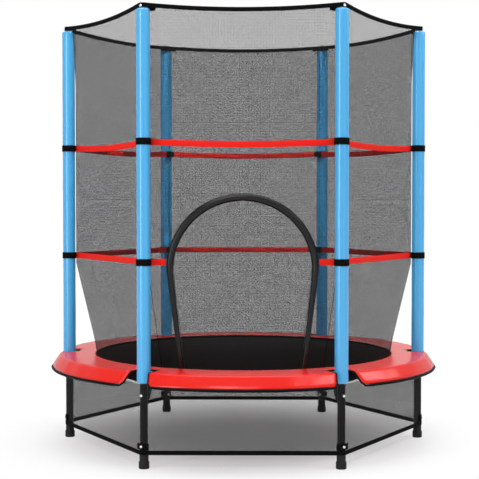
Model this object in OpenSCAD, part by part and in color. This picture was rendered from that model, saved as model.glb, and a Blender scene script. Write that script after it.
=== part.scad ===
// Children's trampoline with a six-sided safety enclosure and a zipped door.
// Millimetres, +Z up. The origin is at floor level, at the centre of the six legs.
// The door side faces -Y. Poles are numbered from the +X side, counter-clockwise.

/* [Overall] */
// Height of the whole trampoline, to the tops of the pole caps
total_h = 1600; // [1500:10:1750]
// Height of the jumping mat above the floor
mat_z = 330; // [310:5:380]
// Radius of the circle that the legs and poles stand on
pole_circle_r = 680; // [665:5:720]

/* [Steel frame] */
// Outer diameter of a leg tube
leg_d = 28; // [26:0.5:30]
// Wall of every steel tube
tube_wall = 1.5; // [1:0.1:2]
// Height of the top of the legs above the mat
leg_rise = 90; // [60:5:140]
// Length of each pole that is plugged into its leg
pole_plug = 80; // [40:5:100]
// Outer diameter of the frame ring's tube
ring_d = 25; // [22:0.5:26]
// Clearance between the frame ring and the foam sleeves
ring_gap = 3; // [2:0.5:6]
// Height of the saddle by which a bracket grips its leg
saddle_h = 56; // [44:2:70]
// Distance between a saddle and its foam sleeve
saddle_gap = 4; // [3:0.5:10]
// Height of the frame bolt above the saddle's lower edge
saddle_bolt_rise = 18; // [14:1:26]
// Thickness of the bracket's steel plate
plate_t = 2.5; // [2:0.25:3.5]
// Half the angle that a saddle wraps round its leg
saddle_half_angle = 50; // [40:5:60]
// Distance from the middle of a bracket to each side plate
plate_half_gap = 8; // [7:0.5:9]
// Length of the bracket's spigot inside each ring segment
spigot_len = 36; // [20:2:40]

/* [Feet] */
// Height of a rubber foot cap
cap_h = 51; // [40:1:60]
// Wall of the cap's sleeve
cap_wall = 1.6; // [1.2:0.1:2.5]
// Diameter of the cap's flared foot
cap_flare_d = 37; // [34:0.5:44]
// Height of the flared foot
cap_flare_h = 25; // [15:1:30]
// Thickness of rubber under the leg
cap_sole = 8; // [5:0.5:12]
// Rounding of the foot's lower edge
cap_round = 3; // [1:0.5:4]

/* [Fasteners] */
// Thread diameter of the bolts
bolt_d = 6; // [5:0.5:6.5]
// Diameter of a bolt's dome head
head_d = 10.5; // [10:0.5:13]
// Height of a bolt's dome head
head_h = 4; // [3:0.25:5]
// Width across the flats of a nut
nut_w = 10; // [9.5:0.25:11]
// Thickness of a nut
nut_t = 5; // [4:0.5:6]
// Thread that shows past a nut
bolt_tail = 2; // [1:0.5:4]

/* [Foam sleeves] */
// Outer diameter of a foam sleeve
foam_d = 49; // [44:1:52]
// Distance of the sleeves' lower ends below the mat
foam_drop = 34; // [20:1:50]
// Length of pole that stands out above a sleeve
pole_show = 14; // [12:1:20]
// Rounding of the sleeve's ends
foam_round = 6; // [2:0.5:8]
// Height of a pole cap's dome
pole_cap_h = 6; // [4:0.5:8]
// Depth of a pole cap's plug
pole_cap_plug = 20; // [14:1:40]

/* [Jumping mat] */
// Radius of the mat
mat_r = 572; // [560:1:576]
// Thickness of the mat's fabric
mat_t = 1.5; // [1:0.25:2]
// Width of the webbing under the mat's edge
webbing_w = 32; // [24:1:40]
// Thickness of that webbing
webbing_t = 2.5; // [1.5:0.25:3]
// Number of springs
spring_count = 36; // [24:6:36]
// Outer diameter of a spring
spring_d = 12; // [9:0.5:13]
// Wire of a spring
spring_wire = 2; // [1.6:0.1:2.4]
// Wire of a V-ring
vring_wire = 3; // [2.5:0.25:3.5]
// Reach of a V-ring past the mat's edge
vring_reach = 11; // [10:0.5:14]

/* [Safety pad] */
// Radius of the pad's lower outer edge
pad_outer_r = 738; // [735:1:790]
// Thickness of the pad
pad_t = 9; // [7:0.5:12]
// Crown of the pad's flat top
pad_crown = 2; // [0.5:0.25:4]
// Radius of the bend into the pad's skirt
pad_bend_r = 16; // [12:1:24]
// Slope of the pad's skirt, from level
pad_slope = 55; // [45:1:65]
// Distance of the skirt's lower edge below the mat
pad_drop = 33; // [26:1:40]
// Half the width of a pole slot at the top of the pad
slot_half_top = 36; // [32:1:42]
// Half the width of a pole slot at the pad's lower edge
slot_half_bottom = 47; // [44:1:54]
// Clearance between a slot's inner end and its foam sleeve
slot_clear = 15; // [8:1:18]
// Width of the binding round a slot
binding_w = 3; // [2:0.5:5]
// Diameter of the piping along the skirt's lower edge
piping_d = 10; // [8:0.5:12]

/* [Enclosure net] */
// Clearance between the net's corners and the foam sleeves
net_gap = 4; // [3.8:0.2:8]
// Thickness of the net
net_t = 1.5; // [1:0.25:1.5]
// Height of the net's bend above the mat
bend_rise = 353; // [320:1:380]
// Width of a bar of the net
net_bar = 5; // [4:0.5:8]
// Gaps across a wall of the enclosure
wall_cols = 5; // [3:1:6]
// Gaps up a wall of the enclosure
wall_rows = 6; // [4:1:8]
// Height of the band at the net's foot
foot_band_h = 7; // [5:0.5:8]
// Thickness of that band
foot_band_t = 3; // [2:0.5:4]

/* [Bands] */
// Height of the hem along the top of the net
hem_h = 16; // [12:1:17]
// Thickness of the hem on each side of the net
hem_t = 1.5; // [1:0.25:2]
// Sag of the hem between two poles
hem_sag = 14; // [0:1:30]
// Thickness of the hem where it straps round a pole
hem_strap_t = 2.5; // [2:0.25:3]
// Width of a corner tab under the hem
tab_w = 19; // [12:1:24]
// Height of a corner tab
tab_h = 13; // [8:1:20]
// Height of a coloured band
band_h = 22; // [16:1:30]
// Thickness of a coloured band
band_t = 1.5; // [1:0.25:1.5]
// Height of the upper band above the mat
upper_band_rise = 797; // [700:5:900]
// Sag of the upper band between two poles
upper_band_sag = 9; // [0:1:20]
// Height of the lower band above the net's bend
lower_band_rise = 29; // [20:1:40]
// Height of a tie round a pole
tie_h = 24; // [18:1:34]
// Thickness of a tie
tie_t = 1.8; // [1:0.2:1.8]

/* [Door] */
// Radius of the door arch
arch_r = 253; // [240:1:265]
// Diameter of the padded tube over the door
arch_d = 24; // [23:0.5:26]
// Diameter of the padded tube down each side of the door
arch_leg_d = 22; // [18:0.5:22]
// Half the width of the arch at the mat
arch_foot_half = 213; // [200:1:225]
// Width of the zip's chain
zip_w = 6; // [5:0.5:8]
// Thickness of the zip's chain
zip_t = 2; // [1.5:0.25:2.5]
// Height of the slider above the arch's foot when the zip is closed
slider_rise = 34; // [30:1:60]
// Length of the zip's slider
slider_l = 15; // [12:0.5:20]
// Wall of the slider
slider_wall = 1.6; // [1.2:0.1:2.2]
// Length of the slider's pull tab
pull_l = 26; // [18:1:29]
// Width of the pull tab
pull_w = 9; // [7:0.5:11]
// Thickness of the pull tab
pull_t = 1.8; // [1.4:0.1:2.4]

/* [Lower net] */
// Height of the lower net's upper edge below the foam sleeves' ends
skirt_drop = 3; // [1:0.5:10]
// Height of the black band along its lower edge
skirt_band_h = 11; // [8:0.5:12]
// Thickness of that band
skirt_band_t = 1.5; // [1:0.25:2.5]
// Gaps across a panel of the lower net
skirt_cols = 5; // [3:1:6]
// Gaps up a panel of the lower net
skirt_rows = 2; // [1:1:3]
// Height of the strap round a leg
strap_h = 22; // [18:1:24]
// Thickness of that strap
strap_t = 1.5; // [1:0.25:2]
// Length of the strap along each panel
strap_tab = 18; // [10:1:24]
// Distance of the strap above the black band
strap_gap = 5; // [1:1:20]

/* [Hidden] */
sides = 6;
side_angle = 360 / sides;
half_angle = side_angle / 2;
door_side = 5;
clear = 0.3;              // running clearance between pieces
fit = 0.2;                // clearance of one tube in or on another
over = 1;                 // how far a cut runs past a face
$fn = 64;

// heights
foam_z0 = mat_z - foam_drop;
pole_top_z = total_h - pole_cap_h;
foam_z1 = pole_top_z - pole_show;
leg_top_z = mat_z + leg_rise;
saddle_z1 = foam_z0 - saddle_gap;
saddle_z0 = saddle_z1 - saddle_h;
frame_bolt_z = saddle_z0 + saddle_bolt_rise;
top_bolt_z = (foam_z1 + pole_top_z) / 2 + 1;
mat_z0 = mat_z - mat_t;
webbing_z0 = mat_z0 - webbing_t;
pad_z0 = mat_z + clear;
pad_z1 = pad_z0 + pad_t;
bend_z = mat_z + bend_rise;
foot_band_z1 = pad_z0 + foot_band_h;
net_z0 = foot_band_z1 + clear;
hem_corner_z = foam_z1 + 1 + hem_h / 2;
upper_band_z = mat_z + upper_band_rise;
lower_band_z = bend_z + lower_band_rise;
skirt_z1 = foam_z0 - skirt_drop;
skirt_band_z0 = cap_h + clear;
skirt_z0 = skirt_band_z0 + 1;
strap_z0 = skirt_band_z0 + skirt_band_h + strap_gap;
strap_bolt_z = strap_z0 + strap_h / 2;

// tubes
leg_r = leg_d / 2;
pole_r = leg_r - tube_wall - fit;
pole_bore_r = pole_r - tube_wall;
pole_z0 = leg_top_z - pole_plug;
foam_r = foam_d / 2;
foam_inner_r = pole_circle_r - foam_r;
ring_r = foam_inner_r - ring_gap - ring_d / 2;
ring_z = mat_z - ring_d / 2;
spigot_r = ring_d / 2 - tube_wall - fit;
collar_half = plate_half_gap + 2 * plate_t;
collar_angle = asin(collar_half / ring_r);
spigot_angle = asin((collar_half + spigot_len) / ring_r);
ring_end_angle = asin((collar_half + clear) / ring_r);
bolt_bore_r = bolt_d / 2 + 0.25;

// springs and V-rings: the hook circles the bar of its V-ring
vring_z = webbing_z0 - vring_wire / 2;
vring_out_r = mat_r + vring_reach;
vring_hold = 6;           // depth to which the webbing holds a V-ring
vring_in_r = mat_r - vring_hold;
vring_tip_half = 5;
vring_base_half = 14;
spring_lead = 7;          // straight wire between a hook and the coil
hook_r = vring_wire / 2 + spring_wire / 2 + 3 * clear;
spring_z = vring_z - hook_r;
spring_r0 = vring_out_r + spring_lead;
ring_wall_r = ring_r - sqrt(pow(ring_d / 2, 2) - pow(spring_z - ring_z, 2));
spring_r1 = ring_wall_r - spring_lead / 2;
spring_hole_r = spring_wire / 2 + 2 * clear;
hook_in = 5;              // length of the hook inside the frame ring's wall
hook_bend_r = 3;

// pad
pad_inner_r = mat_r + 1.5;
skirt_out_z = mat_z - pad_drop;
bend_fall = pad_bend_r * (1 - cos(pad_slope));
skirt_run_l = (pad_z1 - bend_fall - skirt_out_z) / sin(pad_slope);
pad_bend_c = pad_outer_r - pad_bend_r * sin(pad_slope) - skirt_run_l * cos(pad_slope);
slot_inner_r = foam_inner_r - slot_clear;
piping_r = piping_d / 2;
slot_flare = 9;

// enclosure net: six flat walls down to the bend, then a taper to the mat's edge
net_corner_r = foam_inner_r - net_gap;
wall_half = net_corner_r * sin(half_angle);
wall_in = net_corner_r * cos(half_angle);
wall_out = wall_in + net_t;
foot_band_out_r = mat_r - 0.5;
net_foot_r = foot_band_out_r - foot_band_t / 2 - net_t / 2;
net_edge = 4;             // selvedge beyond a wall's outer bars
taper_margin = 24;        // plain net above and below the gaps of a tapered panel
seam_angle = 0.15;        // half the seam between two tapered panels
tab_inset = 3;            // from a corner of the net to its tab

// door: a half-circle arch above the bend, on two straight legs below it
arch_tube_r = arch_d / 2;
arch_leg_r = arch_leg_d / 2;
arch_y = -(wall_in + net_t / 2);
arch_foot_z = pad_z1 + pad_crown / 2;
arch_foot_y = -sqrt(pow(net_foot_r + net_t / 2, 2) - pow(arch_foot_half, 2));
arch_leg = [arch_r - arch_foot_half, arch_y - arch_foot_y, bend_z - arch_foot_z];
arch_leg_l = norm(arch_leg);
arch_tilt = acos(arch_leg[2] / arch_leg_l);
arch_turn = atan2(arch_leg[1], arch_leg[0]);
hole_r = arch_r + arch_tube_r + clear;
panel_r = arch_r - arch_tube_r - clear;
hole_foot_half = arch_foot_half + arch_leg_r + clear;
swing_gap = 1.2;          // beside the arch's feet, past which the door's corners swing
panel_foot_half = arch_foot_half - arch_leg_r - swing_gap;
panel_z0 = net_z0 + 2;
zip_y = arch_tube_r + clear;
slider_w = zip_w + 2 * slider_wall + 2 * clear;

// slider and pull: the pull's axis lies in the bail, near the slider's upper end
bail_w = 4;
bail_l = 8;
bail_h = 5;
pin_r = 1;
pin_inset = 5;
ear_w = 1.6;
pull_axis_y = zip_y + zip_t + clear + slider_wall + bail_h / 2;
pull_axis_z = slider_rise + slider_l - pin_inset;

// lower net: wrapped round the outside of the legs
skirt_in = leg_r + clear;
skirt_out = skirt_in + net_t;
wrap_in = skirt_out + clear;
strap_out = wrap_in + strap_t;
leg_plane = pole_circle_r * cos(half_angle);
leg_half = pole_circle_r * sin(half_angle);

// seats of the bolts: heads outside, nuts inside, as distances from the axis of a leg or pole
bolt_seats = [
    [frame_bolt_z, skirt_out, -leg_r - fit - plate_t],
    [strap_bolt_z, strap_out, -leg_r],
    [top_bolt_z, pole_r + fit + hem_strap_t, -pole_r]
];

// ---------------------------------------------------------------- places

function on_circle(r, a, z) = [r * cos(a), r * sin(a), z];
function arc(c, r, a0, a1, n) =
    [for (k = [0 : n]) let (a = a0 + (a1 - a0) * k / n) [c[0] + r * cos(a), c[1] + r * sin(a)]];
function lerp(a, b, t) = a + (b - a) * t;

module at_pole(i) {
    rotate([0, 0, side_angle * (i - 1)]) translate([pole_circle_r, 0, 0]) children();
}

module at_side(k) {
    rotate([0, 0, side_angle * (k - 1) + half_angle]) children();
}

// A flat shape in (along the wall, up) stood at a distance from the centre
module wall_plate(distance, t) {
    translate([distance, 0, 0]) rotate([90, 0, 90]) linear_extrude(t) children();
}

module tube(r, wall, z0, z1) {
    translate([0, 0, z0]) difference() {
        cylinder(r = r, h = z1 - z0);
        translate([0, 0, -over]) cylinder(r = r - wall, h = z1 - z0 + 2 * over);
    }
}

module cross_bore(r, z, x0, x1) {
    translate([x0, 0, z]) rotate([0, 90, 0]) cylinder(r = r, h = x1 - x0);
}

// A flat closed wire through corner points
module wire_loop(corners, w) {
    n = len(corners);
    for (k = [0 : n - 1]) {
        d = corners[(k + 1) % n] - corners[k];
        translate(corners[k]) {
            circle(d = w, $fn = 24);
            rotate(atan2(d[1], d[0])) translate([0, -w / 2]) square([norm(d), w]);
        }
    }
}

// ---------------------------------------------------------------- frame

module leg(i) {
    color("#232325") at_pole(i) difference() {
        tube(leg_r, tube_wall, cap_sole, leg_top_z);
        cross_bore(bolt_bore_r, frame_bolt_z, -leg_d, leg_d);
        cross_bore(bolt_bore_r, strap_bolt_z, -leg_d, leg_d);
    }
}

module foot_cap(i) {
    flare_r = cap_flare_d / 2;
    sleeve_r = leg_r + fit + cap_wall;
    bore_r = leg_r + fit;
    rib = 2.5;
    profile = concat(
        [[0, 0]],
        arc([flare_r - cap_round, cap_round], cap_round, -90, 0, 6),
        [[flare_r, cap_flare_h - rib], [sleeve_r, cap_flare_h + rib], [sleeve_r, cap_h - 1]],
        [[sleeve_r - 1, cap_h], [bore_r, cap_h], [bore_r, cap_sole], [0, cap_sole]]
    );
    color("#161617") at_pole(i) rotate_extrude() polygon(profile);
}

module pole(i) {
    color("#3c3d40") at_pole(i) difference() {
        tube(pole_r, tube_wall, pole_z0, pole_top_z);
        cross_bore(bolt_bore_r, top_bolt_z, -leg_d, leg_d);
    }
}

module foam_sleeve(i) {
    low_bore = leg_r + fit;
    high_bore = pole_r + fit;
    profile = concat(
        [[low_bore, foam_z0]],
        arc([foam_r - foam_round / 3, foam_z0 + foam_round / 3], foam_round / 3, -90, 0, 4),
        arc([foam_r - foam_round, foam_z1 - foam_round], foam_round, 0, 90, 8),
        [[high_bore, foam_z1], [high_bore, leg_top_z + clear], [low_bore, leg_top_z + clear]]
    );
    color("#58b8f0") at_pole(i) rotate_extrude() polygon(profile);
}

module pole_caps() {
    plug_r = pole_bore_r - fit;
    profile = concat(
        [[0, pole_top_z - pole_cap_plug], [plug_r - 1, pole_top_z - pole_cap_plug]],
        [[plug_r, pole_top_z - pole_cap_plug + 2], [plug_r, pole_top_z], [pole_r, pole_top_z]],
        [for (k = [1 : 8]) let (a = 90 * k / 8) [pole_r * cos(a), pole_top_z + pole_cap_h * sin(a)]]
    );
    color("#1a1a1b") for (i = [1 : sides]) at_pole(i) difference() {
        rotate_extrude() polygon(profile);
        cross_bore(bolt_bore_r, top_bolt_z, -leg_d, leg_d);
    }
}

module ring_tube(r, wall, a0, a1) {
    rotate([0, 0, a0]) translate([0, 0, ring_z]) rotate_extrude(angle = a1 - a0, $fn = 180)
        translate([ring_r, 0]) difference() {
            circle(r = r);
            if (wall > 0) circle(r = r - wall);
        }
}

function spring_angle(j) = 360 * (j + 0.5) / spring_count;

module ring_segment(i) {
    from = side_angle * (i - 1);
    color("#2a2a2c") difference() {
        ring_tube(ring_d / 2, tube_wall, from + ring_end_angle, from + side_angle - ring_end_angle);
        for (j = [0 : spring_count - 1])
            if (spring_angle(j) > from && spring_angle(j) < from + side_angle)
                rotate([0, 0, spring_angle(j)])
                    cross_bore(spring_hole_r, spring_z, ring_wall_r - hook_in, ring_wall_r + hook_in);
    }
}

// A collar and two spigots join the ring segments, and two plates carry the saddle
module ring_bracket(i) {
    saddle_r = leg_r + fit;
    sunk = plate_t / 4;
    back = pole_circle_r - sqrt(pow(saddle_r, 2) - pow(plate_half_gap, 2)) - sunk;
    hang = ring_d / 6;
    side_plate = [
        [ring_r - 2 * hang, ring_z - hang], [ring_r + 2 * hang, ring_z - hang],
        [ring_r + 3 * hang, saddle_z1], [back, saddle_z1 - plate_t], [back, saddle_z0 + plate_t],
        [back - plate_half_gap, saddle_z0 + plate_t], [ring_r - 2 * hang, ring_z - 3 * hang]
    ];
    color("#2f2f32") rotate([0, 0, side_angle * (i - 1)]) difference() {
        union() {
            ring_tube(ring_d / 2, 0, -collar_angle, collar_angle);
            ring_tube(spigot_r, 0, -spigot_angle, spigot_angle);
            for (side = [-1, 1])
                translate([0, side * (plate_half_gap + plate_t / 2) + plate_t / 2, 0])
                    rotate([90, 0, 0]) linear_extrude(plate_t) polygon(side_plate);
            translate([pole_circle_r, 0, saddle_z0]) rotate([0, 0, 180 - saddle_half_angle])
                rotate_extrude(angle = 2 * saddle_half_angle)
                    translate([saddle_r, 0]) square([plate_t, saddle_h]);
        }
        cross_bore(bolt_bore_r, frame_bolt_z, back - plate_half_gap, pole_circle_r);
    }
}

// ---------------------------------------------------------------- fasteners

// Head outwards at x_head, nut inwards at x_nut, in the frame of a pole
module bolt(z, x_head, x_nut) {
    dome = [for (k = [0 : 6]) let (a = 90 * k / 6) [head_d / 2 * cos(a), head_h * sin(a)]];
    translate([x_head, 0, z]) rotate([0, 90, 0]) rotate_extrude() polygon(concat([[0, 0]], dome));
    cross_bore(bolt_d / 2, z, x_nut - nut_t - bolt_tail, x_head + over);
}

module nut(z, x_nut) {
    translate([x_nut - nut_t, 0, z]) rotate([0, 90, 0]) difference() {
        cylinder(d = nut_w / cos(30), h = nut_t, $fn = 6);
        translate([0, 0, -over]) cylinder(r = bolt_d / 2 + fit / 4, h = nut_t + 2 * over);
    }
}

module bolts() {
    color("#e9e9ea") for (i = [1 : sides], seat = bolt_seats) at_pole(i) bolt(seat[0], seat[1], seat[2]);
}

module nuts() {
    color("#c9cacc") for (i = [1 : sides], seat = bolt_seats) at_pole(i) nut(seat[0], seat[2]);
}

// ---------------------------------------------------------------- mat and springs

module mat() {
    color("#222223") translate([0, 0, mat_z0]) cylinder(r = mat_r, h = mat_t, $fn = 180);
}

module mat_webbing() {
    color("#151516") translate([0, 0, webbing_z0]) difference() {
        cylinder(r = mat_r, h = webbing_t, $fn = 180);
        translate([0, 0, -over]) cylinder(r = mat_r - webbing_w, h = webbing_t + 2 * over, $fn = 180);
    }
}

module v_ring() {
    translate([0, 0, vring_z - vring_wire / 2]) linear_extrude(vring_wire)
        wire_loop([
            [vring_in_r, -vring_base_half], [vring_out_r, -vring_tip_half],
            [vring_out_r, vring_tip_half], [vring_in_r, vring_base_half]
        ], vring_wire);
}

module v_rings() {
    color("#b8babd") for (j = [0 : spring_count - 1]) rotate([0, 0, spring_angle(j)]) v_ring();
}

// A wound spring with a hook round its V-ring and a bent end inside the frame ring
module spring() {
    wire_r = spring_wire / 2;
    coil_l = spring_r1 - spring_r0;
    translate([spring_r0, 0, spring_z]) rotate([0, 90, 0]) difference() {
        cylinder(r = spring_d / 2, h = coil_l, $fn = 32);
        translate([0, 0, spring_wire])
            cylinder(r = spring_d / 2 - spring_wire, h = coil_l - 2 * spring_wire, $fn = 32);
    }
    cross_bore(wire_r, spring_z, vring_out_r, spring_r0 + 1, $fn = 24);
    translate([vring_out_r, 0, vring_z]) rotate([90, 0, 0]) rotate([0, 0, 90])
        rotate_extrude(angle = 180, $fn = 32) translate([hook_r, 0]) circle(r = wire_r, $fn = 24);
    inner_end = ring_wall_r + hook_in;
    cross_bore(wire_r, spring_z, spring_r1 - 1, inner_end, $fn = 24);
    translate([inner_end, 0, spring_z - hook_bend_r]) rotate([90, 0, 0])
        rotate_extrude(angle = 90, $fn = 32) translate([hook_bend_r, 0]) circle(r = wire_r, $fn = 24);
    translate([inner_end + hook_bend_r, 0, spring_z - 2 * hook_bend_r])
        cylinder(r = wire_r, h = hook_bend_r, $fn = 24);
}

module springs() {
    color("#c4c6c9") for (j = [0 : spring_count - 1]) rotate([0, 0, spring_angle(j)]) spring();
}

// ---------------------------------------------------------------- safety pad

function pad_profile() =
    let (
        c = [pad_bend_c, pad_z1 - pad_bend_r],
        down = [cos(pad_slope), -sin(pad_slope)],
        top_end = c + pad_bend_r * [sin(pad_slope), cos(pad_slope)],
        low_end = c + (pad_bend_r - pad_t) * [sin(pad_slope), cos(pad_slope)],
        flat = pad_bend_c - pad_inner_r - pad_t / 2
    )
    concat(
        arc([pad_inner_r + pad_t / 2, pad_z0 + pad_t / 2], pad_t / 2, 270, 90, 8),
        [for (k = [1 : 7])
            [pad_inner_r + pad_t / 2 + flat * k / 8, pad_z1 + pad_crown * sin(180 * k / 8)]],
        arc(c, pad_bend_r, 90, 90 - pad_slope, 6),
        [top_end + down * skirt_run_l, low_end + down * skirt_run_l],
        arc(c, pad_bend_r - pad_t, 90 - pad_slope, 90, 4)
    );

// The outline of a pole slot in (across, up), wider towards the skirt's lower edge
function slot_outline(grow) =
    let (
        top = slot_half_top + grow,
        low = slot_half_bottom + grow,
        low_z = skirt_out_z + slot_flare,
        past = 3 * slot_flare,
        side = concat(
            [[top, pad_z1 + past], [top, pad_z1 - pad_t / 2]],
            [for (k = [0 : 5]) let (a = 90 * k / 5)
                [low + slot_flare * (1 - cos(a)), low_z - slot_flare * sin(a)]],
            [[low + slot_flare, skirt_out_z - past]]
        )
    )
    concat(side, [for (k = [len(side) - 1 : -1 : 0]) [-side[k][0], side[k][1]]]);

module slot_cutter(grow) {
    length = pad_outer_r - slot_inner_r + 2 * grow + pad_t;
    translate([slot_inner_r - grow, 0, 0]) rotate([90, 0, 90])
        linear_extrude(length) polygon(slot_outline(grow));
}

module pad_ring() {
    rotate_extrude($fn = 180) polygon(pad_profile());
}

module pad() {
    color("#f52d28") difference() {
        pad_ring();
        for (i = [1 : sides]) rotate([0, 0, side_angle * (i - 1)]) slot_cutter(binding_w);
    }
}

// The binding lines each slot, and the piping runs along the skirt between the slots
module pad_trim() {
    slot_edge_angle = asin((slot_half_bottom + slot_flare) / pad_outer_r);
    edge_mid = [pad_outer_r, skirt_out_z] - pad_t / 2 * [sin(pad_slope), cos(pad_slope)];
    piping_c = edge_mid + (piping_r + clear) * [cos(pad_slope), -sin(pad_slope)];
    color("#17181a") {
        for (i = [1 : sides]) rotate([0, 0, side_angle * (i - 1)]) difference() {
            intersection() {
                pad_ring();
                slot_cutter(binding_w - clear);
            }
            slot_cutter(0);
        }
        for (i = [1 : sides]) rotate([0, 0, side_angle * (i - 1) + slot_edge_angle])
            rotate_extrude(angle = side_angle - 2 * slot_edge_angle, $fn = 180)
                translate(piping_c) circle(r = piping_r, $fn = 24);
    }
}

// ---------------------------------------------------------------- enclosure net

function sag_at(s, sag) = sag * (1 - pow(s / wall_half, 2));
function hem_z(s) = hem_corner_z - sag_at(s, hem_sag);

// A strip of height h that sags between its ends, in (along, up)
function strip(s0, s1, z_mid, h, sag, n) = concat(
    [for (k = [0 : n]) let (s = lerp(s0, s1, k / n)) [s, z_mid - sag_at(s, sag) - h / 2]],
    [for (k = [n : -1 : 0]) let (s = lerp(s0, s1, k / n)) [s, z_mid - sag_at(s, sag) + h / 2]]
);

module net_gaps(half, z0, z1, cols, rows) {
    w = (2 * half - net_bar) / cols;
    h = (z1 - z0 - net_bar) / rows;
    for (c = [0 : cols - 1], r = [0 : rows - 1])
        translate([-half + net_bar + c * w, z0 + net_bar + r * h]) square([w - net_bar, h - net_bar]);
}

net_top_z = hem_z(0) - hem_h / 2 - over;

module wall_outline() {
    n = 16;
    polygon(concat(
        [[wall_half, bend_z + clear], [-wall_half, bend_z + clear]],
        [for (k = [0 : n]) let (s = lerp(-wall_half, wall_half, k / n)) [s, hem_z(s) - hem_h / 2 - clear]]
    ));
}

module upper_net() {
    color("#5a5a5c", 0.55) for (k = [1 : sides]) if (k != door_side)
        at_side(k) wall_plate(wall_in, net_t) difference() {
            wall_outline();
            net_gaps(wall_half - net_edge, bend_z + clear, net_top_z, wall_cols, wall_rows);
        }
}

// Sheet through rows of points, [inner face point, outer face point] each; rows of one length
module sheet(rows) {
    n = len(rows[0]);
    m = len(rows);
    points = [for (row = rows, p = row) each p];
    faces = concat(
        [for (j = [0 : m - 2], k = [0 : n - 2])
            let (a = 2 * (j * n + k), b = a + 2, c = a + 2 * n, d = c + 2)
            each [[a, b, c], [b, d, c], [a + 1, c + 1, b + 1], [b + 1, c + 1, d + 1]]],
        [for (k = [0 : n - 2]) let (a = 2 * k, b = a + 2, c = 2 * ((m - 1) * n + k), d = c + 2)
            each [[a, b + 1, b], [a, a + 1, b + 1], [c, d, d + 1], [c, d + 1, c + 1]]],
        [for (j = [0 : m - 2]) let (a = 2 * j * n, c = a + 2 * n, b = a + 2 * (n - 1), d = b + 2 * n)
            each [[a, c + 1, a + 1], [a, c, c + 1], [b, d + 1, d], [b, b + 1, d + 1]]]
    );
    polyhedron(points, faces);
}

// Rows of the tapered net: round at the mat's edge and straight at the bend
function foot_row(a0, a1, z, n) = [for (k = [0 : n]) let (a = lerp(a0, a1, k / n))
    [on_circle(net_foot_r, a, z), on_circle(net_foot_r + net_t, a, z)]];
function bend_row(s0, s1, z, n) = [for (k = [0 : n]) let (s = lerp(s0, s1, k / n))
    [[wall_in, s, z], [wall_out, s, z]]];

// Gaps of a tapered panel, between two angles of its foot
module taper_gaps(a0, a1, cols, rows) {
    z0 = net_z0 + taper_margin;
    z1 = bend_z - taper_margin;
    turn = (a1 - a0) / cols;
    width = turn * net_foot_r * PI / 180;
    rise = (z1 - z0) / rows;
    reach = 90;
    for (c = [0 : cols - 1], r = [0 : rows - 1]) rotate([0, 0, a0 + turn * (c + 0.5)])
        translate([net_foot_r - reach, -width / 2 + net_bar, z0 + rise * r + net_bar / 2])
            cube([2 * reach, width - 2 * net_bar, rise - net_bar]);
}

module lower_net() {
    n = 12;
    foot = half_angle - seam_angle;
    top = wall_half - net_t;
    color("#5a5a5c", 0.55) for (k = [1 : sides]) if (k != door_side) at_side(k) difference() {
        sheet([foot_row(-foot, foot, net_z0, n), bend_row(-top, top, bend_z, n)]);
        taper_gaps(-half_angle, half_angle, 4, 2);
    }
}

// The wall with the doorway: net above and beside the arch, and a strip down each side
module door_net() {
    n = 4;
    over_arch = bend_z + hole_r + net_bar;
    foot_angle = asin(hole_foot_half / net_foot_r);
    edge = wall_half - net_edge - net_bar;
    color("#5a5a5c", 0.55) at_side(door_side) {
        wall_plate(wall_in, net_t) difference() {
            wall_outline();
            translate([0, bend_z]) circle(r = hole_r, $fn = 96);
            translate([-hole_r, bend_z - over]) square([2 * hole_r, over + clear]);
            net_gaps(wall_half - net_edge, over_arch, net_top_z, wall_cols, 4);
            for (side = [0, 1], r = [0, 1]) mirror([side, 0]) difference() {
                translate([hole_r / 2, lerp(bend_z, over_arch, r / 2) + net_bar])
                    square([edge - hole_r / 2, hole_r / 2 - net_bar]);
                translate([0, bend_z]) circle(r = hole_r + 2 * net_bar, $fn = 96);
            }
        }
        for (side = [0, 1]) mirror([0, side, 0]) difference() {
            sheet([
                foot_row(foot_angle, half_angle - seam_angle, net_z0, n),
                bend_row(hole_r, wall_half - net_t, bend_z, n)
            ]);
            taper_gaps(foot_angle + 2 * seam_angle, half_angle - seam_angle, 1, 2);
        }
    }
}

// The strap that takes the hem round the outside of a pole's top, as two tangents and an arc
module hem_strap() {
    in_r = pole_r + fit;
    out_r = in_r + hem_strap_t;
    mid_r = in_r + hem_strap_t / 2;
    far = 4 * out_r;
    lap = hem_h;
    start = [net_corner_r - pole_circle_r - lap * sin(half_angle), lap * cos(half_angle)];
    tangent = atan2(start[1], start[0]) - acos(mid_r / norm(start));
    touch = mid_r * [cos(tangent), sin(tangent)];
    run = start - touch;
    difference() {
        translate([0, 0, hem_corner_z - hem_h / 2]) linear_extrude(hem_h) {
            difference() {
                circle(r = out_r);
                circle(r = in_r);
                polygon([[0, 0], far * [cos(tangent), sin(tangent)], [-far, far], [-far, -far],
                         far * [cos(tangent), -sin(tangent)]]);
            }
            for (side = [0, 1]) mirror([0, side]) translate(touch) rotate(atan2(run[1], run[0]))
                translate([-fit, -hem_strap_t / 2]) square([norm(run) + over, hem_strap_t]);
        }
        cross_bore(bolt_bore_r, top_bolt_z, 0, far);
    }
}

module top_hem() {
    hem_end = wall_half - hem_h / 2;
    color("#1b1b1c") {
        for (k = [1 : sides]) at_side(k) {
            wall_plate(wall_in - hem_t, net_t + 2 * hem_t)
                polygon(strip(-hem_end, hem_end, hem_corner_z, hem_h, hem_sag, 16));
            for (side = [0, 1]) wall_plate(wall_out, hem_t) mirror([side, 0])
                translate([wall_half - tab_inset - tab_w, hem_corner_z - hem_h / 2 - tab_h])
                    square([tab_w, tab_h + hem_t]);
        }
        for (i = [1 : sides]) at_pole(i) hem_strap();
    }
}

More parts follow.
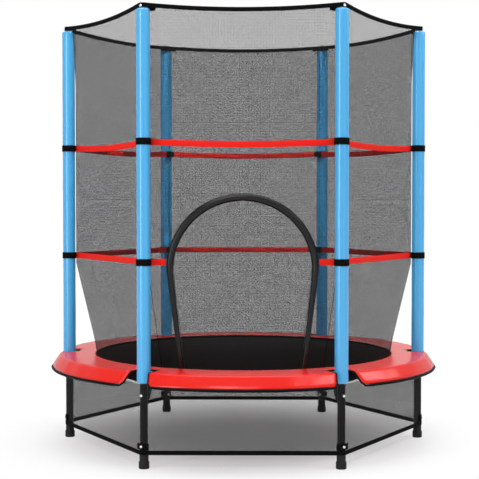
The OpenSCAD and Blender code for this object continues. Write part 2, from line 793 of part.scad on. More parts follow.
module foot_band() {
    color("#141415") translate([0, 0, pad_z0]) difference() {
        cylinder(r = foot_band_out_r, h = foot_band_h, $fn = 180);
        translate([0, 0, -over])
            cylinder(r = foot_band_out_r - foot_band_t, h = foot_band_h + 2 * over, $fn = 180);
    }
}

module net_bands() {
    end = wall_half - tab_inset;
    arch_side = sqrt(pow(hole_r, 2) - pow(lower_band_z - band_h / 2 - bend_z, 2)) + clear;
    color("#fb3029") for (k = [1 : sides]) at_side(k) wall_plate(wall_out, band_t) {
        polygon(strip(-end, end, upper_band_z, band_h, upper_band_sag, 16));
        if (k != door_side) translate([-end, lower_band_z - band_h / 2]) square([2 * end, band_h]);
        else for (side = [-1, 1])
            translate([side > 0 ? arch_side : -end, lower_band_z - band_h / 2])
                square([end - arch_side, band_h]);
    }
}

module pole_ties() {
    color("#2b2b2d") for (i = [1 : sides], z = [upper_band_z, lower_band_z])
        at_pole(i) tube(foam_r + fit + tie_t, tie_t, z - tie_h / 2, z + tie_h / 2);
}

// ---------------------------------------------------------------- door

// The door's net, zipped into the arch
module door_panel() {
    n = 12;
    cols = 4;
    rows = 5;
    foot_angle = asin(panel_foot_half / net_foot_r);
    top_angle = 84;
    reach = 120;
    col_w = 2 * (panel_r - 2 * net_bar) / cols;
    row_h = (bend_z + panel_r - taper_margin - panel_z0) / rows;
    color("#5a5a5c", 0.55) at_side(door_side) difference() {
        sheet(concat(
            [foot_row(-foot_angle, foot_angle, panel_z0, n)],
            [for (k = [0 : 8]) let (a = top_angle * k / 8)
                bend_row(-panel_r * cos(a), panel_r * cos(a), bend_z + panel_r * sin(a), n)]
        ));
        intersection() {
            for (c = [0 : cols - 1], r = [0 : rows - 1])
                translate([wall_in - reach, (c - cols / 2) * col_w + net_bar / 2,
                           panel_z0 + taper_margin + row_h * r])
                    cube([2 * reach, col_w - net_bar, row_h - net_bar]);
            translate([wall_in - reach, 0, 0]) rotate([90, 0, 90]) linear_extrude(2 * reach) polygon(concat(
                [[-panel_foot_half + 3 * net_bar, panel_z0], [panel_foot_half - 3 * net_bar, panel_z0]],
                arc([0, bend_z], panel_r - 3 * net_bar, 0, 180, 16)
            ));
        }
    }
}

// Frame of the arch's right leg: +Z along the leg, +Y towards the mat
module on_arch_leg() {
    translate([arch_foot_half, arch_foot_y, arch_foot_z])
        rotate([0, 0, arch_turn]) rotate([0, arch_tilt, 0]) rotate([0, 0, -arch_turn]) children();
}

module both_sides() {
    children();
    mirror([1, 0, 0]) children();
}

module door_arch() {
    color("#262628") difference() {
        union() {
            translate([0, arch_y, bend_z]) rotate([90, 0, 0])
                rotate_extrude(angle = 180, $fn = 128)
                    translate([arch_r, 0]) circle(r = arch_tube_r, $fn = 48);
            both_sides() on_arch_leg() translate([0, 0, -arch_leg_d])
                cylinder(r = arch_leg_r, h = arch_leg_l + arch_leg_d + arch_tube_r / 3, $fn = 48);
        }
        translate([-2 * arch_r, arch_y - 2 * arch_r, arch_foot_z - arch_r])
            cube([4 * arch_r, 4 * arch_r, arch_r]);
    }
}

// The zip's chain lies along the inner side of the arch
module zip_chain() {
    color("#0f0f10") {
        translate([0, arch_y + zip_y, bend_z]) rotate([-90, 0, 0]) rotate([0, 0, 180])
            rotate_extrude(angle = 180, $fn = 128) translate([arch_r - zip_w / 2, 0]) square([zip_w, zip_t]);
        both_sides() on_arch_leg()
            translate([-zip_w / 2, zip_y, zip_w]) cube([zip_w, zip_t, arch_leg_l - zip_w]);
    }
}

// The slider straddles the chain and carries a bail for the pull
module zip_slider() {
    in_w = zip_w + 2 * clear;
    low_y = zip_y - clear * 3 / 4;
    top_y = zip_y + zip_t + clear;
    color("#8f9194") on_arch_leg() difference() {
        union() {
            translate([-slider_w / 2, low_y, slider_rise])
                cube([slider_w, top_y + slider_wall - low_y, slider_l]);
            translate([-bail_w / 2, top_y, pull_axis_z - bail_l / 2])
                cube([bail_w, slider_wall + bail_h, bail_l]);
        }
        translate([-in_w / 2, low_y - over, slider_rise - over])
            cube([in_w, top_y - low_y + over, slider_l + 2 * over]);
        translate([-slider_w / 2, pull_axis_y, pull_axis_z]) rotate([0, 90, 0])
            cylinder(r = pin_r + fit, h = slider_w, $fn = 32);
    }
}

// A flat tab with two ears, whose pin passes through the slider's bail
module zip_pull() {
    ear_in = bail_w / 2 + clear;
    ear_out = ear_in + ear_w;
    neck = bail_l;
    round_r = pull_w / 2;
    color("#a4a6a9") on_arch_leg() translate([0, pull_axis_y, pull_axis_z]) {
        translate([-ear_out, 0, 0]) rotate([0, 90, 0]) cylinder(r = pin_r, h = 2 * ear_out, $fn = 32);
        for (x = [-ear_out, ear_in])
            translate([x, -pull_t / 2, -neck]) cube([ear_w, pull_t, neck + pin_r]);
        translate([0, pull_t / 2, -pull_l]) rotate([90, 0, 0]) linear_extrude(pull_t) difference() {
            union() {
                translate([-round_r, round_r]) square([pull_w, pull_l - neck + over - round_r]);
                translate([0, round_r]) circle(r = round_r);
            }
            translate([0, round_r]) circle(r = round_r / 2);
        }
    }
}

// ---------------------------------------------------------------- lower net

// Plan of a strip between two radii from the legs, turned round part of the leg at each end
function wrap_plan(r0, r1, turn) =
    let (a = [leg_plane, -leg_half], b = [leg_plane, leg_half])
    concat(arc(a, r1, -turn, 0, 5), arc(b, r1, 0, turn, 5), arc(b, r0, turn, 0, 5), arc(a, r0, 0, -turn, 5));

module skirt_wrap(r0, r1, z0, h, turn) {
    translate([0, 0, z0]) linear_extrude(h) polygon(wrap_plan(r0, r1, turn));
}

module skirt_net() {
    seam = 4 * seam_angle;
    color("#6b6b6d", 0.55) for (k = [1 : sides]) at_side(k) difference() {
        skirt_wrap(skirt_in, skirt_out, skirt_z0, skirt_z1 - skirt_z0, half_angle - seam);
        wall_plate(leg_plane + skirt_in - over, net_t + 2 * over)
            net_gaps(leg_half - leg_d, skirt_z0 + skirt_band_h, skirt_z1, skirt_cols, skirt_rows);
        for (side = [-1, 1], z = [frame_bolt_z, strap_bolt_z])
            rotate([0, 0, side * half_angle]) translate([pole_circle_r, 0, 0])
                cross_bore(bolt_bore_r, z, 0, strap_out + over);
    }
}

module skirt_band() {
    color("#161617") translate([0, 0, skirt_band_z0]) linear_extrude(skirt_band_h) difference() {
        polygon(skirt_loop(wrap_in + skirt_band_t));
        polygon(skirt_loop(wrap_in));
    }
}

// A closed loop round all the legs, at a distance r from their axes
function skirt_loop(r) = [for (i = [0 : sides - 1]) each
    arc(pole_circle_r * [cos(side_angle * i), sin(side_angle * i)], r,
        side_angle * i - half_angle, side_angle * i + half_angle, 8)];

// Plan of a strap round the outer side of a leg, with a straight tab at each end
function strap_plan(r0, r1) =
    let (along = [sin(half_angle), -cos(half_angle)], flip = [-sin(half_angle), -cos(half_angle)])
    concat(
        [[r1 * cos(half_angle), -r1 * sin(half_angle)] + strap_tab * flip],
        arc([0, 0], r1, -half_angle, half_angle, 8),
        [[r1 * cos(half_angle), r1 * sin(half_angle)] - strap_tab * along],
        [[r0 * cos(half_angle), r0 * sin(half_angle)] - strap_tab * along],
        arc([0, 0], r0, half_angle, -half_angle, 8),
        [[r0 * cos(half_angle), -r0 * sin(half_angle)] + strap_tab * flip]
    );

module leg_straps() {
    color("#1d1d1f") for (i = [1 : sides]) at_pole(i) difference() {
        translate([0, 0, strap_z0]) linear_extrude(strap_h) polygon(strap_plan(wrap_in, strap_out));
        cross_bore(bolt_bore_r, strap_bolt_z, 0, strap_out + over);
    }
}

for (i = [1 : sides]) leg(i);
for (i = [1 : sides]) foot_cap(i);
for (i = [1 : sides]) pole(i);
for (i = [1 : sides]) foam_sleeve(i);
for (i = [1 : sides]) ring_segment(i);
for (i = [1 : sides]) ring_bracket(i);
pole_caps();
bolts();
nuts();
springs();
v_rings();
mat();
mat_webbing();
pad();
pad_trim();
upper_net();
lower_net();
door_net();
top_hem();
foot_band();
net_bands();
pole_ties();
door_panel();
door_arch();
zip_chain();
zip_slider();
zip_pull();
skirt_net();
skirt_band();
leg_straps();
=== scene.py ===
"""Looks of a child's trampoline with a six-sided safety enclosure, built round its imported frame.

Each sub-assembly is a class whose fields are its sizes in metres and whose methods build and dress it.
Each finish is a frozen dataclass that makes its own procedural material.
"""
from __future__ import annotations

import logging
import math
import random
from dataclasses import dataclass
from enum import Enum
from functools import cache
from typing import Callable, Iterable, Sequence

import bmesh
import bpy
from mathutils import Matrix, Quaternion, Vector


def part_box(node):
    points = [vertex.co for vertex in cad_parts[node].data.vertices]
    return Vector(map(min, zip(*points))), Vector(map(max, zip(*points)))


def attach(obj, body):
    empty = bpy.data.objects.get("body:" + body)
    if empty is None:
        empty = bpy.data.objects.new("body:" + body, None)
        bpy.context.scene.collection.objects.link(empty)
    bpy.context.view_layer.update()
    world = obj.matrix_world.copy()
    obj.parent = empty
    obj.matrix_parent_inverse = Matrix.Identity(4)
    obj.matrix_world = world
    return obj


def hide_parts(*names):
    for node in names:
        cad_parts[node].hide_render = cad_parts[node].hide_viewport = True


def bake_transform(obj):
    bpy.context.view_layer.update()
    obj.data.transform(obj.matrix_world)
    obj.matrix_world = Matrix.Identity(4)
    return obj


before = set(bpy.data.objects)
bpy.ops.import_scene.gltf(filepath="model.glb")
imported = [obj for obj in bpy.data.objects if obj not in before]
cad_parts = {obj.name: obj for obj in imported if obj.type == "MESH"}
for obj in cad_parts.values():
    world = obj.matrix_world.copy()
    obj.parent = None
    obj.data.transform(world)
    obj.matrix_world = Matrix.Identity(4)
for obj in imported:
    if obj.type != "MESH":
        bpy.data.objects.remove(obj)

LOG = logging.getLogger("trampoline")
Point = tuple[float, float, float]
Flat = tuple[float, float]
Size = tuple[float, float, float]
Colour = tuple[float, float, float]
Item, Node, Socket = bpy.types.Object, bpy.types.Node, bpy.types.NodeSocket
Tree, Material = bpy.types.NodeTree, bpy.types.Material
SIDES = 6
SIDE_ANGLE = 360 / SIDES
HALF_ANGLE = SIDE_ANGLE / 2
HALF = math.radians(HALF_ANGLE)
FULL_TURN = 2 * math.pi
DOOR_WALL = 4
SEED = 11


class Body(Enum):
    """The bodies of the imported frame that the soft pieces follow."""

    FRAME = "frame"
    MAT = "jump_mat"
    DOOR = "door_flap"


# ---------------------------------------------------------------- shared places


def polar(radius: float, degrees: float, z: float = 0.0) -> Point:
    """Gives a point by its radius and angle.

    Args:
        radius: Distance from the middle of the trampoline.
        degrees: Angle from +X, counter-clockwise.
        z: Height.

    Returns:
        The point in the row frame.
    """
    a = math.radians(degrees)
    return (radius * math.cos(a), radius * math.sin(a), z)


def turned(point: Sequence[float], degrees: float) -> Point:
    """Turns a point about the middle of the trampoline.

    Args:
        point: The point to turn.
        degrees: Angle, counter-clockwise from above.

    Returns:
        The turned point.
    """
    a = math.radians(degrees)
    x, y, z = point
    return (x * math.cos(a) - y * math.sin(a), x * math.sin(a) + y * math.cos(a), z)


def lerp(a: float, b: float, t: float) -> float:
    """Gives the value a share of the way from one number to another.

    Args:
        a: Value at 0.
        b: Value at 1.
        t: Share.

    Returns:
        The value between.
    """
    return a + (b - a) * t


def between(p: Sequence[float], q: Sequence[float], t: float) -> Point:
    """Gives the point a share of the way from one point to another.

    Args:
        p: Point at 0.
        q: Point at 1.
        t: Share.

    Returns:
        The point between.
    """
    return tuple(lerp(u, v, t) for u, v in zip(p, q))


def across(steps: int) -> list[float]:
    """Gives even places from -1 to 1.

    Args:
        steps: Number of steps.

    Returns:
        The places, one more than the steps.
    """
    return [2 * k / steps - 1 for k in range(steps + 1)]


def wall_angle(wall: int) -> float:
    """Gives the angle of the middle of a wall of the enclosure, in degrees."""
    return HALF_ANGLE + SIDE_ANGLE * wall


@dataclass(frozen=True)
class Layout:
    """Places that several sub-assemblies share, in metres."""

    pole_circle: float
    foam_r: float
    wall: float
    bend_z: float
    net_foot_r: float
    net_foot_z: float
    net_t: float = 0.0015
    arch_r: float = 0.253
    arch_foot: Point = (0.213, -0.5287, 0.3403)

    @property
    def wall_half(self) -> float:
        """Half the width of a wall of the enclosure."""
        return self.wall * math.tan(HALF)

    @property
    def pole_half(self) -> float:
        """Half the distance between two poles."""
        return self.pole_circle * math.sin(HALF)

    @property
    def corner_r(self) -> float:
        """Distance of the net's corners from the middle."""
        return self.wall / math.cos(HALF)

    @classmethod
    def from_frame(cls) -> Layout:
        """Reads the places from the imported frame.

        Returns:
            The layout of this frame.
        """
        leg_low, leg_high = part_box("leg_1")
        foam_low, foam_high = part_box("foam_sleeve_1")
        _, band_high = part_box("foot_band")
        return cls(
            pole_circle=(leg_low.x + leg_high.x) / 2,
            foam_r=(foam_high.y - foam_low.y) / 2,
            wall=-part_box("door_net")[0].y - cls.net_t / 2,
            bend_z=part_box("upper_net")[0].z,
            net_foot_r=band_high.y - cls.net_t,
            net_foot_z=band_high.z - 0.001,
        )


# ---------------------------------------------------------------- meshes


def linked(name: str, mesh: bpy.types.Mesh) -> Item:
    """Makes an object at the origin and links it to the scene.

    Args:
        name: Name of the piece.
        mesh: Its mesh.

    Returns:
        The piece.
    """
    item = bpy.data.objects.new(name, mesh)
    bpy.context.scene.collection.objects.link(item)
    return item


def mesh_object(name: str, points: Sequence[Sequence[float]], faces: Sequence[Sequence[int]],
                uvs: Sequence[Flat] | None = None, smooth: bool = True) -> Item:
    """Makes a mesh piece.

    Args:
        name: Name of the piece.
        points: Its vertices.
        faces: Its faces, as rows of vertex numbers.
        uvs: One UV pair, in metres, per vertex.
        smooth: Whether the faces are shaded smooth.

    Returns:
        The piece.
    """
    mesh = bpy.data.meshes.new(name)
    mesh.from_pydata([tuple(p) for p in points], [], [tuple(f) for f in faces])
    if uvs is not None:
        layer = mesh.uv_layers.new(name="Cloth")
        for loop in mesh.loops:
            layer.data[loop.index].uv = uvs[loop.vertex_index]
    mesh.update()
    if smooth:
        mesh.polygons.foreach_set("use_smooth", [True] * len(mesh.polygons))
    return linked(name, mesh)


def grid_faces(rows: int, columns: int, close_rows: bool = False, close_columns: bool = False,
               start: int = 0) -> list[tuple[int, int, int, int]]:
    """Numbers the faces of a grid of vertices.

    Args:
        rows: Rows of vertices.
        columns: Vertices in a row.
        close_rows: Whether the last row joins the first.
        close_columns: Whether the last column joins the first.
        start: Number of the grid's first vertex.

    Returns:
        The quads, whose normals follow (along a row) x (from row to row).
    """
    faces = []
    for j in range(rows if close_rows else rows - 1):
        here, above = start + j * columns, start + ((j + 1) % rows) * columns
        for k in range(columns if close_columns else columns - 1):
            after = (k + 1) % columns
            faces.append((here + k, here + after, above + after, above + k))
    return faces


@dataclass
class Strip:
    """A bar of constant rounded cross-section that follows a path, such as a band or a hem.

    The cross-section stands upright: its height runs along Z and its thickness across the path.
    """

    height: float
    thickness: float
    corner: float = 0.0006
    closed: bool = False

    def section(self, thickness: float) -> list[Flat]:
        """Gives the rounded cross-section.

        Args:
            thickness: Its thickness here.

        Returns:
            Points (across, up), counter-clockwise.
        """
        r = min(self.corner, thickness / 2.01, self.height / 2.01)
        w, h = thickness / 2 - r, self.height / 2 - r
        out = []
        for cx, cz, a0 in ((w, -h, -90), (w, h, 0), (-w, h, 90), (-w, -h, 180)):
            for step in range(3):
                a = math.radians(a0 + 45 * step)
                out.append((cx + r * math.cos(a), cz + r * math.sin(a)))
        return out

    def build(self, name: str, paths: Iterable[Sequence[Point]],
              thick: Callable[[int], float] | None = None) -> Item:
        """Sweeps the cross-section along each path.

        Args:
            name: Name of the piece.
            paths: Lines of points along the middle of the bar.
            thick: Thickness at a point, from its number.

        Returns:
            The piece, with a UV map in metres along and up the bar.
        """
        points: list[Point] = []
        faces: list[tuple[int, ...]] = []
        uvs: list[Flat] = []
        for path in paths:
            n = len(path)
            start, run = len(points), 0.0
            for k, p in enumerate(path):
                before = path[k - 1] if (k or self.closed) else p
                after = path[(k + 1) % n] if (k < n - 1 or self.closed) else p
                dx, dy = after[0] - before[0], after[1] - before[1]
                length = math.hypot(dx, dy) or 1.0
                out_x, out_y = dy / length, -dx / length
                if k:
                    run += math.dist(path[k - 1], p)
                section = self.section(thick(k) if thick else self.thickness)
                for s, up in section:
                    points.append((p[0] + out_x * s, p[1] + out_y * s, p[2] + up))
                    uvs.append((run, up))
            m = len(section)
            faces += grid_faces(n, m, self.closed, True, start)
            if not self.closed:
                faces.append(tuple(start + i for i in reversed(range(m))))
                faces.append(tuple(start + (n - 1) * m + i for i in range(m)))
        return outwards(mesh_object(name, points, faces, uvs))


def outwards(item: Item) -> Item:
    """Turns the normals of a closed piece outwards.

    Args:
        item: The piece.

    Returns:
        The piece.
    """
    work = bmesh.new()
    work.from_mesh(item.data)
    bmesh.ops.recalc_face_normals(work, faces=work.faces)
    work.to_mesh(item.data)
    work.free()
    return item


def merge(mesh: bpy.types.Mesh, sources: Sequence[bpy.types.Mesh], gap: float) -> None:
    """Fills a mesh from others and merges the points that they share.

    Args:
        mesh: The mesh to fill.
        sources: The meshes to read.
        gap: Distance under which points are one.
    """
    work = bmesh.new()
    for source in sources:
        work.from_mesh(source)
    bmesh.ops.remove_doubles(work, verts=work.verts, dist=gap)
    work.to_mesh(mesh)
    work.free()


def joined(name: str, items: Sequence[Item]) -> Item:
    """Joins several pieces into one and merges the points that they share.

    Args:
        name: Name of the joined piece.
        items: The pieces.

    Returns:
        The joined piece.
    """
    mesh = bpy.data.meshes.new(name)
    merge(mesh, [item.data for item in items], 1e-5)
    for item in items:
        bpy.data.objects.remove(item)
    return linked(name, mesh)


def lathe(name: str, outline: Sequence[Flat], centre: Point = (0, 0, 0), steps: int = 144,
          swell: Callable[[float, float], float] | None = None) -> Item:
    """Turns an outline round an upright axis.

    Args:
        name: Name of the piece.
        outline: Closed outline of (radius, height) points.
        centre: Place of the axis.
        steps: Divisions round it.
        swell: Extra radius, from the angle and the height.

    Returns:
        The closed piece.
    """
    points, uvs = [], []
    for radius, z in outline:
        for k in range(steps):
            a = FULL_TURN * k / steps
            r = radius + (swell(a, z) if swell else 0.0)
            points.append((centre[0] + r * math.cos(a), centre[1] + r * math.sin(a), z))
            uvs.append((radius * a, z))
    return outwards(mesh_object(name, points, grid_faces(len(outline), steps, True, True), uvs))


def line_object(name: str, lines: Iterable[Sequence[Point]], closed: bool = False,
                radii: Iterable[Sequence[float]] | None = None) -> Item:
    """Makes a piece of plain lines, for a tree to follow.

    Args:
        name: Name of the piece.
        lines: Rows of points.
        closed: Whether each row closes on itself.
        radii: Thickness at each point, row by row.

    Returns:
        The piece.
    """
    points: list[Point] = []
    edges = []
    for line in lines:
        start = len(points)
        points += list(line)
        edges += [(start + k, start + k + 1) for k in range(len(line) - 1)]
        if closed:
            edges.append((len(points) - 1, start))
    mesh = bpy.data.meshes.new(name)
    mesh.from_pydata(points, edges, [])
    if radii is not None:
        flat = [r for row in radii for r in row]
        mesh.attributes.new("thickness", "FLOAT", "POINT").data.foreach_set("value", flat)
    return linked(name, mesh)


# ---------------------------------------------------------------- node trees


class Input(Enum):
    """Kinds of a node group's sockets."""

    FLOAT = "NodeSocketFloat"
    INTEGER = "NodeSocketInt"
    SWITCH = "NodeSocketBool"
    COLOUR = "NodeSocketColor"
    GEOMETRY = "NodeSocketGeometry"
    MATERIAL = "NodeSocketMaterial"


Inputs = dict[str, tuple[Input, object]]


class NodeSheet:
    """A node tree that is filled by short calls."""

    def __init__(self, tree: Tree) -> None:
        """Takes the shader or geometry node tree to fill."""
        self.tree = tree

    def link(self, source: Socket, target: Socket) -> None:
        """Links an output to an input."""
        self.tree.links.new(source, target)

    def fill(self, sockets: object, values: dict) -> None:
        """Links or sets several inputs.

        Args:
            sockets: The inputs.
            values: Values or output sockets, by input name or number.
        """
        for key, value in values.items():
            if isinstance(value, Socket):
                self.link(value, sockets[key])
            else:
                sockets[key].default_value = value

    def add(self, kind: str, inputs: dict | None = None, **properties: object) -> Node:
        """Adds a node, sets its properties and fills its inputs.

        Args:
            kind: The node's type.
            inputs: Values or output sockets, by input name or number.
            **properties: The node's own properties.

        Returns:
            The new node.
        """
        node = self.tree.nodes.new(kind)
        for name, value in properties.items():
            setattr(node, name, value)
        self.fill(node.inputs, inputs or {})
        return node

    def math(self, operation: str, *values: object) -> Socket:
        """Adds a calculation.

        Args:
            operation: Name of the operation.
            *values: Numbers or output sockets.

        Returns:
            The result's socket.
        """
        return self.add("ShaderNodeMath", dict(enumerate(values)), operation=operation).outputs[0]

    def vector(self, operation: str, first: Socket, second: object) -> Socket:
        """Adds a calculation with vectors.

        Args:
            operation: Name of the operation.
            first: The first vector.
            second: The second vector, or the factor of SCALE.

        Returns:
            The result's socket.
        """
        inputs = {0: first, "Scale" if operation == "SCALE" else 1: second}
        return self.add("ShaderNodeVectorMath", inputs, operation=operation).outputs[0]


class GroupSheet(NodeSheet):
    """A node group with named inputs and outputs, built once."""

    def __init__(self, name: str, kind: str, inputs: Inputs, outputs: dict[str, Input]) -> None:
        """Makes the empty group.

        Args:
            name: Name of the group.
            kind: ShaderNodeTree or GeometryNodeTree.
            inputs: Kind and default of each input, by name.
            outputs: Kind of each output, by name.
        """
        super().__init__(bpy.data.node_groups.new(name, kind))
        sockets = self.tree.interface
        for label, (socket_type, default) in inputs.items():
            socket = sockets.new_socket(label, in_out="INPUT", socket_type=socket_type.value)
            if default is not None:
                socket.default_value = default
        for label, socket_type in outputs.items():
            sockets.new_socket(label, in_out="OUTPUT", socket_type=socket_type.value)
        self.given = self.tree.nodes.new("NodeGroupInput").outputs
        self.end = self.tree.nodes.new("NodeGroupOutput").inputs

    def results(self, values: dict[str, Socket]) -> Tree:
        """Links the group's outputs.

        Args:
            values: The sockets by output name.

        Returns:
            The finished tree.
        """
        self.fill(self.end, values)
        return self.tree


class GrowthSheet(GroupSheet):
    """A geometry node tree that turns a piece into another and paints it."""

    def __init__(self, name: str, inputs: Inputs) -> None:
        """Makes the empty tree.

        Args:
            name: Name of the tree.
            inputs: Its own inputs, beside the piece and the material.
        """
        inputs = {"Geometry": (Input.GEOMETRY, None), **inputs, "Material": (Input.MATERIAL, None)}
        super().__init__(name, "GeometryNodeTree", inputs, {"Geometry": Input.GEOMETRY})

    def step(self, kind: str, geometry: Socket) -> Socket:
        """Adds a node that takes a geometry and gives one."""
        return self.add(kind, {"Geometry": geometry}).outputs[0]

    def painted(self, geometry: Socket) -> Tree:
        """Ends the tree with the material.

        Args:
            geometry: The geometry to paint.

        Returns:
            The finished tree.
        """
        paint = self.add("GeometryNodeSetMaterial",
                         {"Geometry": geometry, "Material": self.given["Material"]})
        return self.results({"Geometry": paint.outputs[0]})


@cache
def tube_tree() -> Tree:
    """Makes the tree of a round tube along a line, whose radius is the line's own 'thickness'.

    Returns:
        The tree.
    """
    sheet = GrowthSheet("Tube along a line", {
        "Sides": (Input.INTEGER, 12), "Fill ends": (Input.SWITCH, True)})
    curve = sheet.add("GeometryNodeMeshToCurve", {"Mesh": sheet.given["Geometry"]})
    radius = sheet.add("GeometryNodeInputNamedAttribute", {"Name": "thickness"}, data_type="FLOAT")
    profile = sheet.add("GeometryNodeCurvePrimitiveCircle",
                        {"Resolution": sheet.given["Sides"], "Radius": 1.0})
    solid = sheet.add("GeometryNodeCurveToMesh", {
        "Curve": curve.outputs[0], "Profile Curve": profile.outputs[0], "Scale": radius.outputs[0],
        "Fill Caps": sheet.given["Fill ends"]})
    return sheet.painted(sheet.step("GeometryNodeSetShadeSmooth", solid.outputs[0]))


@cache
def round_tree() -> Tree:
    """Makes the tree of copies of a piece, turned about the middle of the trampoline.

    Returns:
        The tree.
    """
    sheet = GrowthSheet("Copies round the middle", {
        "Count": (Input.INTEGER, SIDES), "First angle": (Input.FLOAT, 0.0),
        "Step": (Input.FLOAT, 2 * HALF)})
    line = sheet.add("GeometryNodeMeshLine", {"Count": sheet.given["Count"], "Offset": (0, 0, 0)})
    index = sheet.add("GeometryNodeInputIndex").outputs[0]
    angle = sheet.math("MULTIPLY_ADD", index, sheet.given["Step"], sheet.given["First angle"])
    turn = sheet.add("ShaderNodeCombineXYZ", {"Z": angle})
    copies = sheet.add("GeometryNodeInstanceOnPoints", {
        "Points": line.outputs[0], "Instance": sheet.given["Geometry"], "Rotation": turn.outputs[0]})
    return sheet.painted(sheet.step("GeometryNodeRealizeInstances", copies.outputs[0]))


@cache
def stitch_tree() -> Tree:
    """Makes the tree of short threads or teeth at even steps along a line.

    Returns:
        The tree.
    """
    sheet = GrowthSheet("Stitches along a line", {
        "Spacing": (Input.FLOAT, 0.008), "Length": (Input.FLOAT, 0.005),
        "Thickness": (Input.FLOAT, 0.0008), "Unevenness": (Input.FLOAT, 0.1), "Seed": (Input.INTEGER, SEED)})
    given = sheet.given
    curve = sheet.add("GeometryNodeMeshToCurve", {"Mesh": given["Geometry"]})
    spots = sheet.add("GeometryNodeCurveToPoints", {
        "Curve": curve.outputs[0], "Length": given["Spacing"]}, mode="LENGTH")
    ball = sheet.add("GeometryNodeMeshIcoSphere", {"Radius": 0.5, "Subdivisions": 1})
    size = sheet.add("ShaderNodeCombineXYZ", {
        "X": given["Thickness"], "Y": given["Thickness"], "Z": given["Length"]})
    uneven = sheet.add("FunctionNodeRandomValue", data_type="FLOAT")
    sheet.fill({s.name: s for s in uneven.inputs if s.enabled}, {
        "Min": sheet.math("SUBTRACT", 1.0, given["Unevenness"]),
        "Max": sheet.math("ADD", 1.0, given["Unevenness"]), "Seed": given["Seed"]})
    chance = next(s for s in uneven.outputs if s.enabled)
    copies = sheet.add("GeometryNodeInstanceOnPoints", {
        "Points": spots.outputs["Points"], "Instance": ball.outputs[0],
        "Rotation": spots.outputs["Rotation"], "Scale": sheet.vector("SCALE", size.outputs[0], chance)})
    real = sheet.step("GeometryNodeRealizeInstances", copies.outputs[0])
    return sheet.painted(sheet.step("GeometryNodeSetShadeSmooth", real))


def grow(item: Item, tree: Tree, **values: object) -> Item:
    """Runs a tree on a piece and keeps the plain mesh that it gives.

    Args:
        item: The piece that the tree starts from.
        tree: The tree.
        **values: The tree's inputs, with a low line for each space of a name.

    Returns:
        The same piece, with its new mesh and no modifier.
    """
    modifier = item.modifiers.new("Grow", "NODES")
    modifier.node_group = tree
    sockets = {s.name: s.identifier for s in tree.interface.items_tree
               if s.item_type == "SOCKET" and s.in_out == "INPUT"}
    for name, value in values.items():
        modifier[sockets[name.replace("_", " ")]] = value
    item.update_tag()
    bpy.context.view_layer.update()
    ready = item.evaluated_get(bpy.context.evaluated_depsgraph_get())
    mesh = bpy.data.meshes.new_from_object(ready)
    item.modifiers.remove(modifier)
    item.data = mesh
    return item


# ---------------------------------------------------------------- finishes


@cache
def grain_group() -> Tree:
    """Makes the group for the fine unevenness of a coated, moulded or sewn surface.

    Returns:
        A group that gives a height, a tinted colour and a roughness.
    """
    sheet = GroupSheet("Grain", "ShaderNodeTree", {
        "Scale": (Input.FLOAT, 400.0), "Colour": (Input.COLOUR, (0.5, 0.5, 0.5, 1)),
        "Tint": (Input.FLOAT, 0.1), "Roughness": (Input.FLOAT, 0.5), "Spread": (Input.FLOAT, 0.05)},
        {"Height": Input.FLOAT, "Colour": Input.COLOUR, "Roughness": Input.FLOAT})
    given = sheet.given
    place = sheet.add("ShaderNodeTexCoord").outputs["Object"]
    fine = sheet.add("ShaderNodeTexNoise", {"Vector": place, "Scale": given["Scale"], "Detail": 3.0})
    broad = sheet.add("ShaderNodeTexNoise", {"Vector": place, "Scale": 7.0, "Detail": 2.0})
    offset = sheet.math("SUBTRACT", broad.outputs["Fac"], 0.5)
    amount = sheet.math("MULTIPLY_ADD", offset, given["Tint"], 1.0)
    return sheet.results({
        "Height": fine.outputs["Fac"], "Colour": sheet.vector("SCALE", given["Colour"], amount),
        "Roughness": sheet.math("MULTIPLY_ADD", offset, given["Spread"], given["Roughness"])})


@cache
def weave_group() -> Tree:
    """Makes the group for a plain weave, by the piece's own UV map in metres.

    Returns:
        A group that gives a height and a painted shade from 0 to 1 that is lower in the weave's hollows.
    """
    sheet = GroupSheet("Weave", "ShaderNodeTree", {"Pitch": (Input.FLOAT, 0.002)},
                       {"Height": Input.FLOAT, "Shade": Input.FLOAT})
    place = sheet.add("ShaderNodeTexCoord").outputs["UV"]
    split = sheet.add("ShaderNodeSeparateXYZ", {0: place}).outputs
    turns = sheet.math("DIVIDE", FULL_TURN, sheet.given["Pitch"])
    waves = [sheet.math("SINE", sheet.math("MULTIPLY", split[axis], turns)) for axis in ("X", "Y")]
    height = sheet.math("MULTIPLY_ADD", sheet.math("MULTIPLY", *waves), 0.5, 0.5)
    # Painted shade: the shade follows the height, so the weave's hollows come out darker.
    return sheet.results({"Height": height, "Shade": sheet.math("MULTIPLY_ADD", height, 0.3, 0.7)})


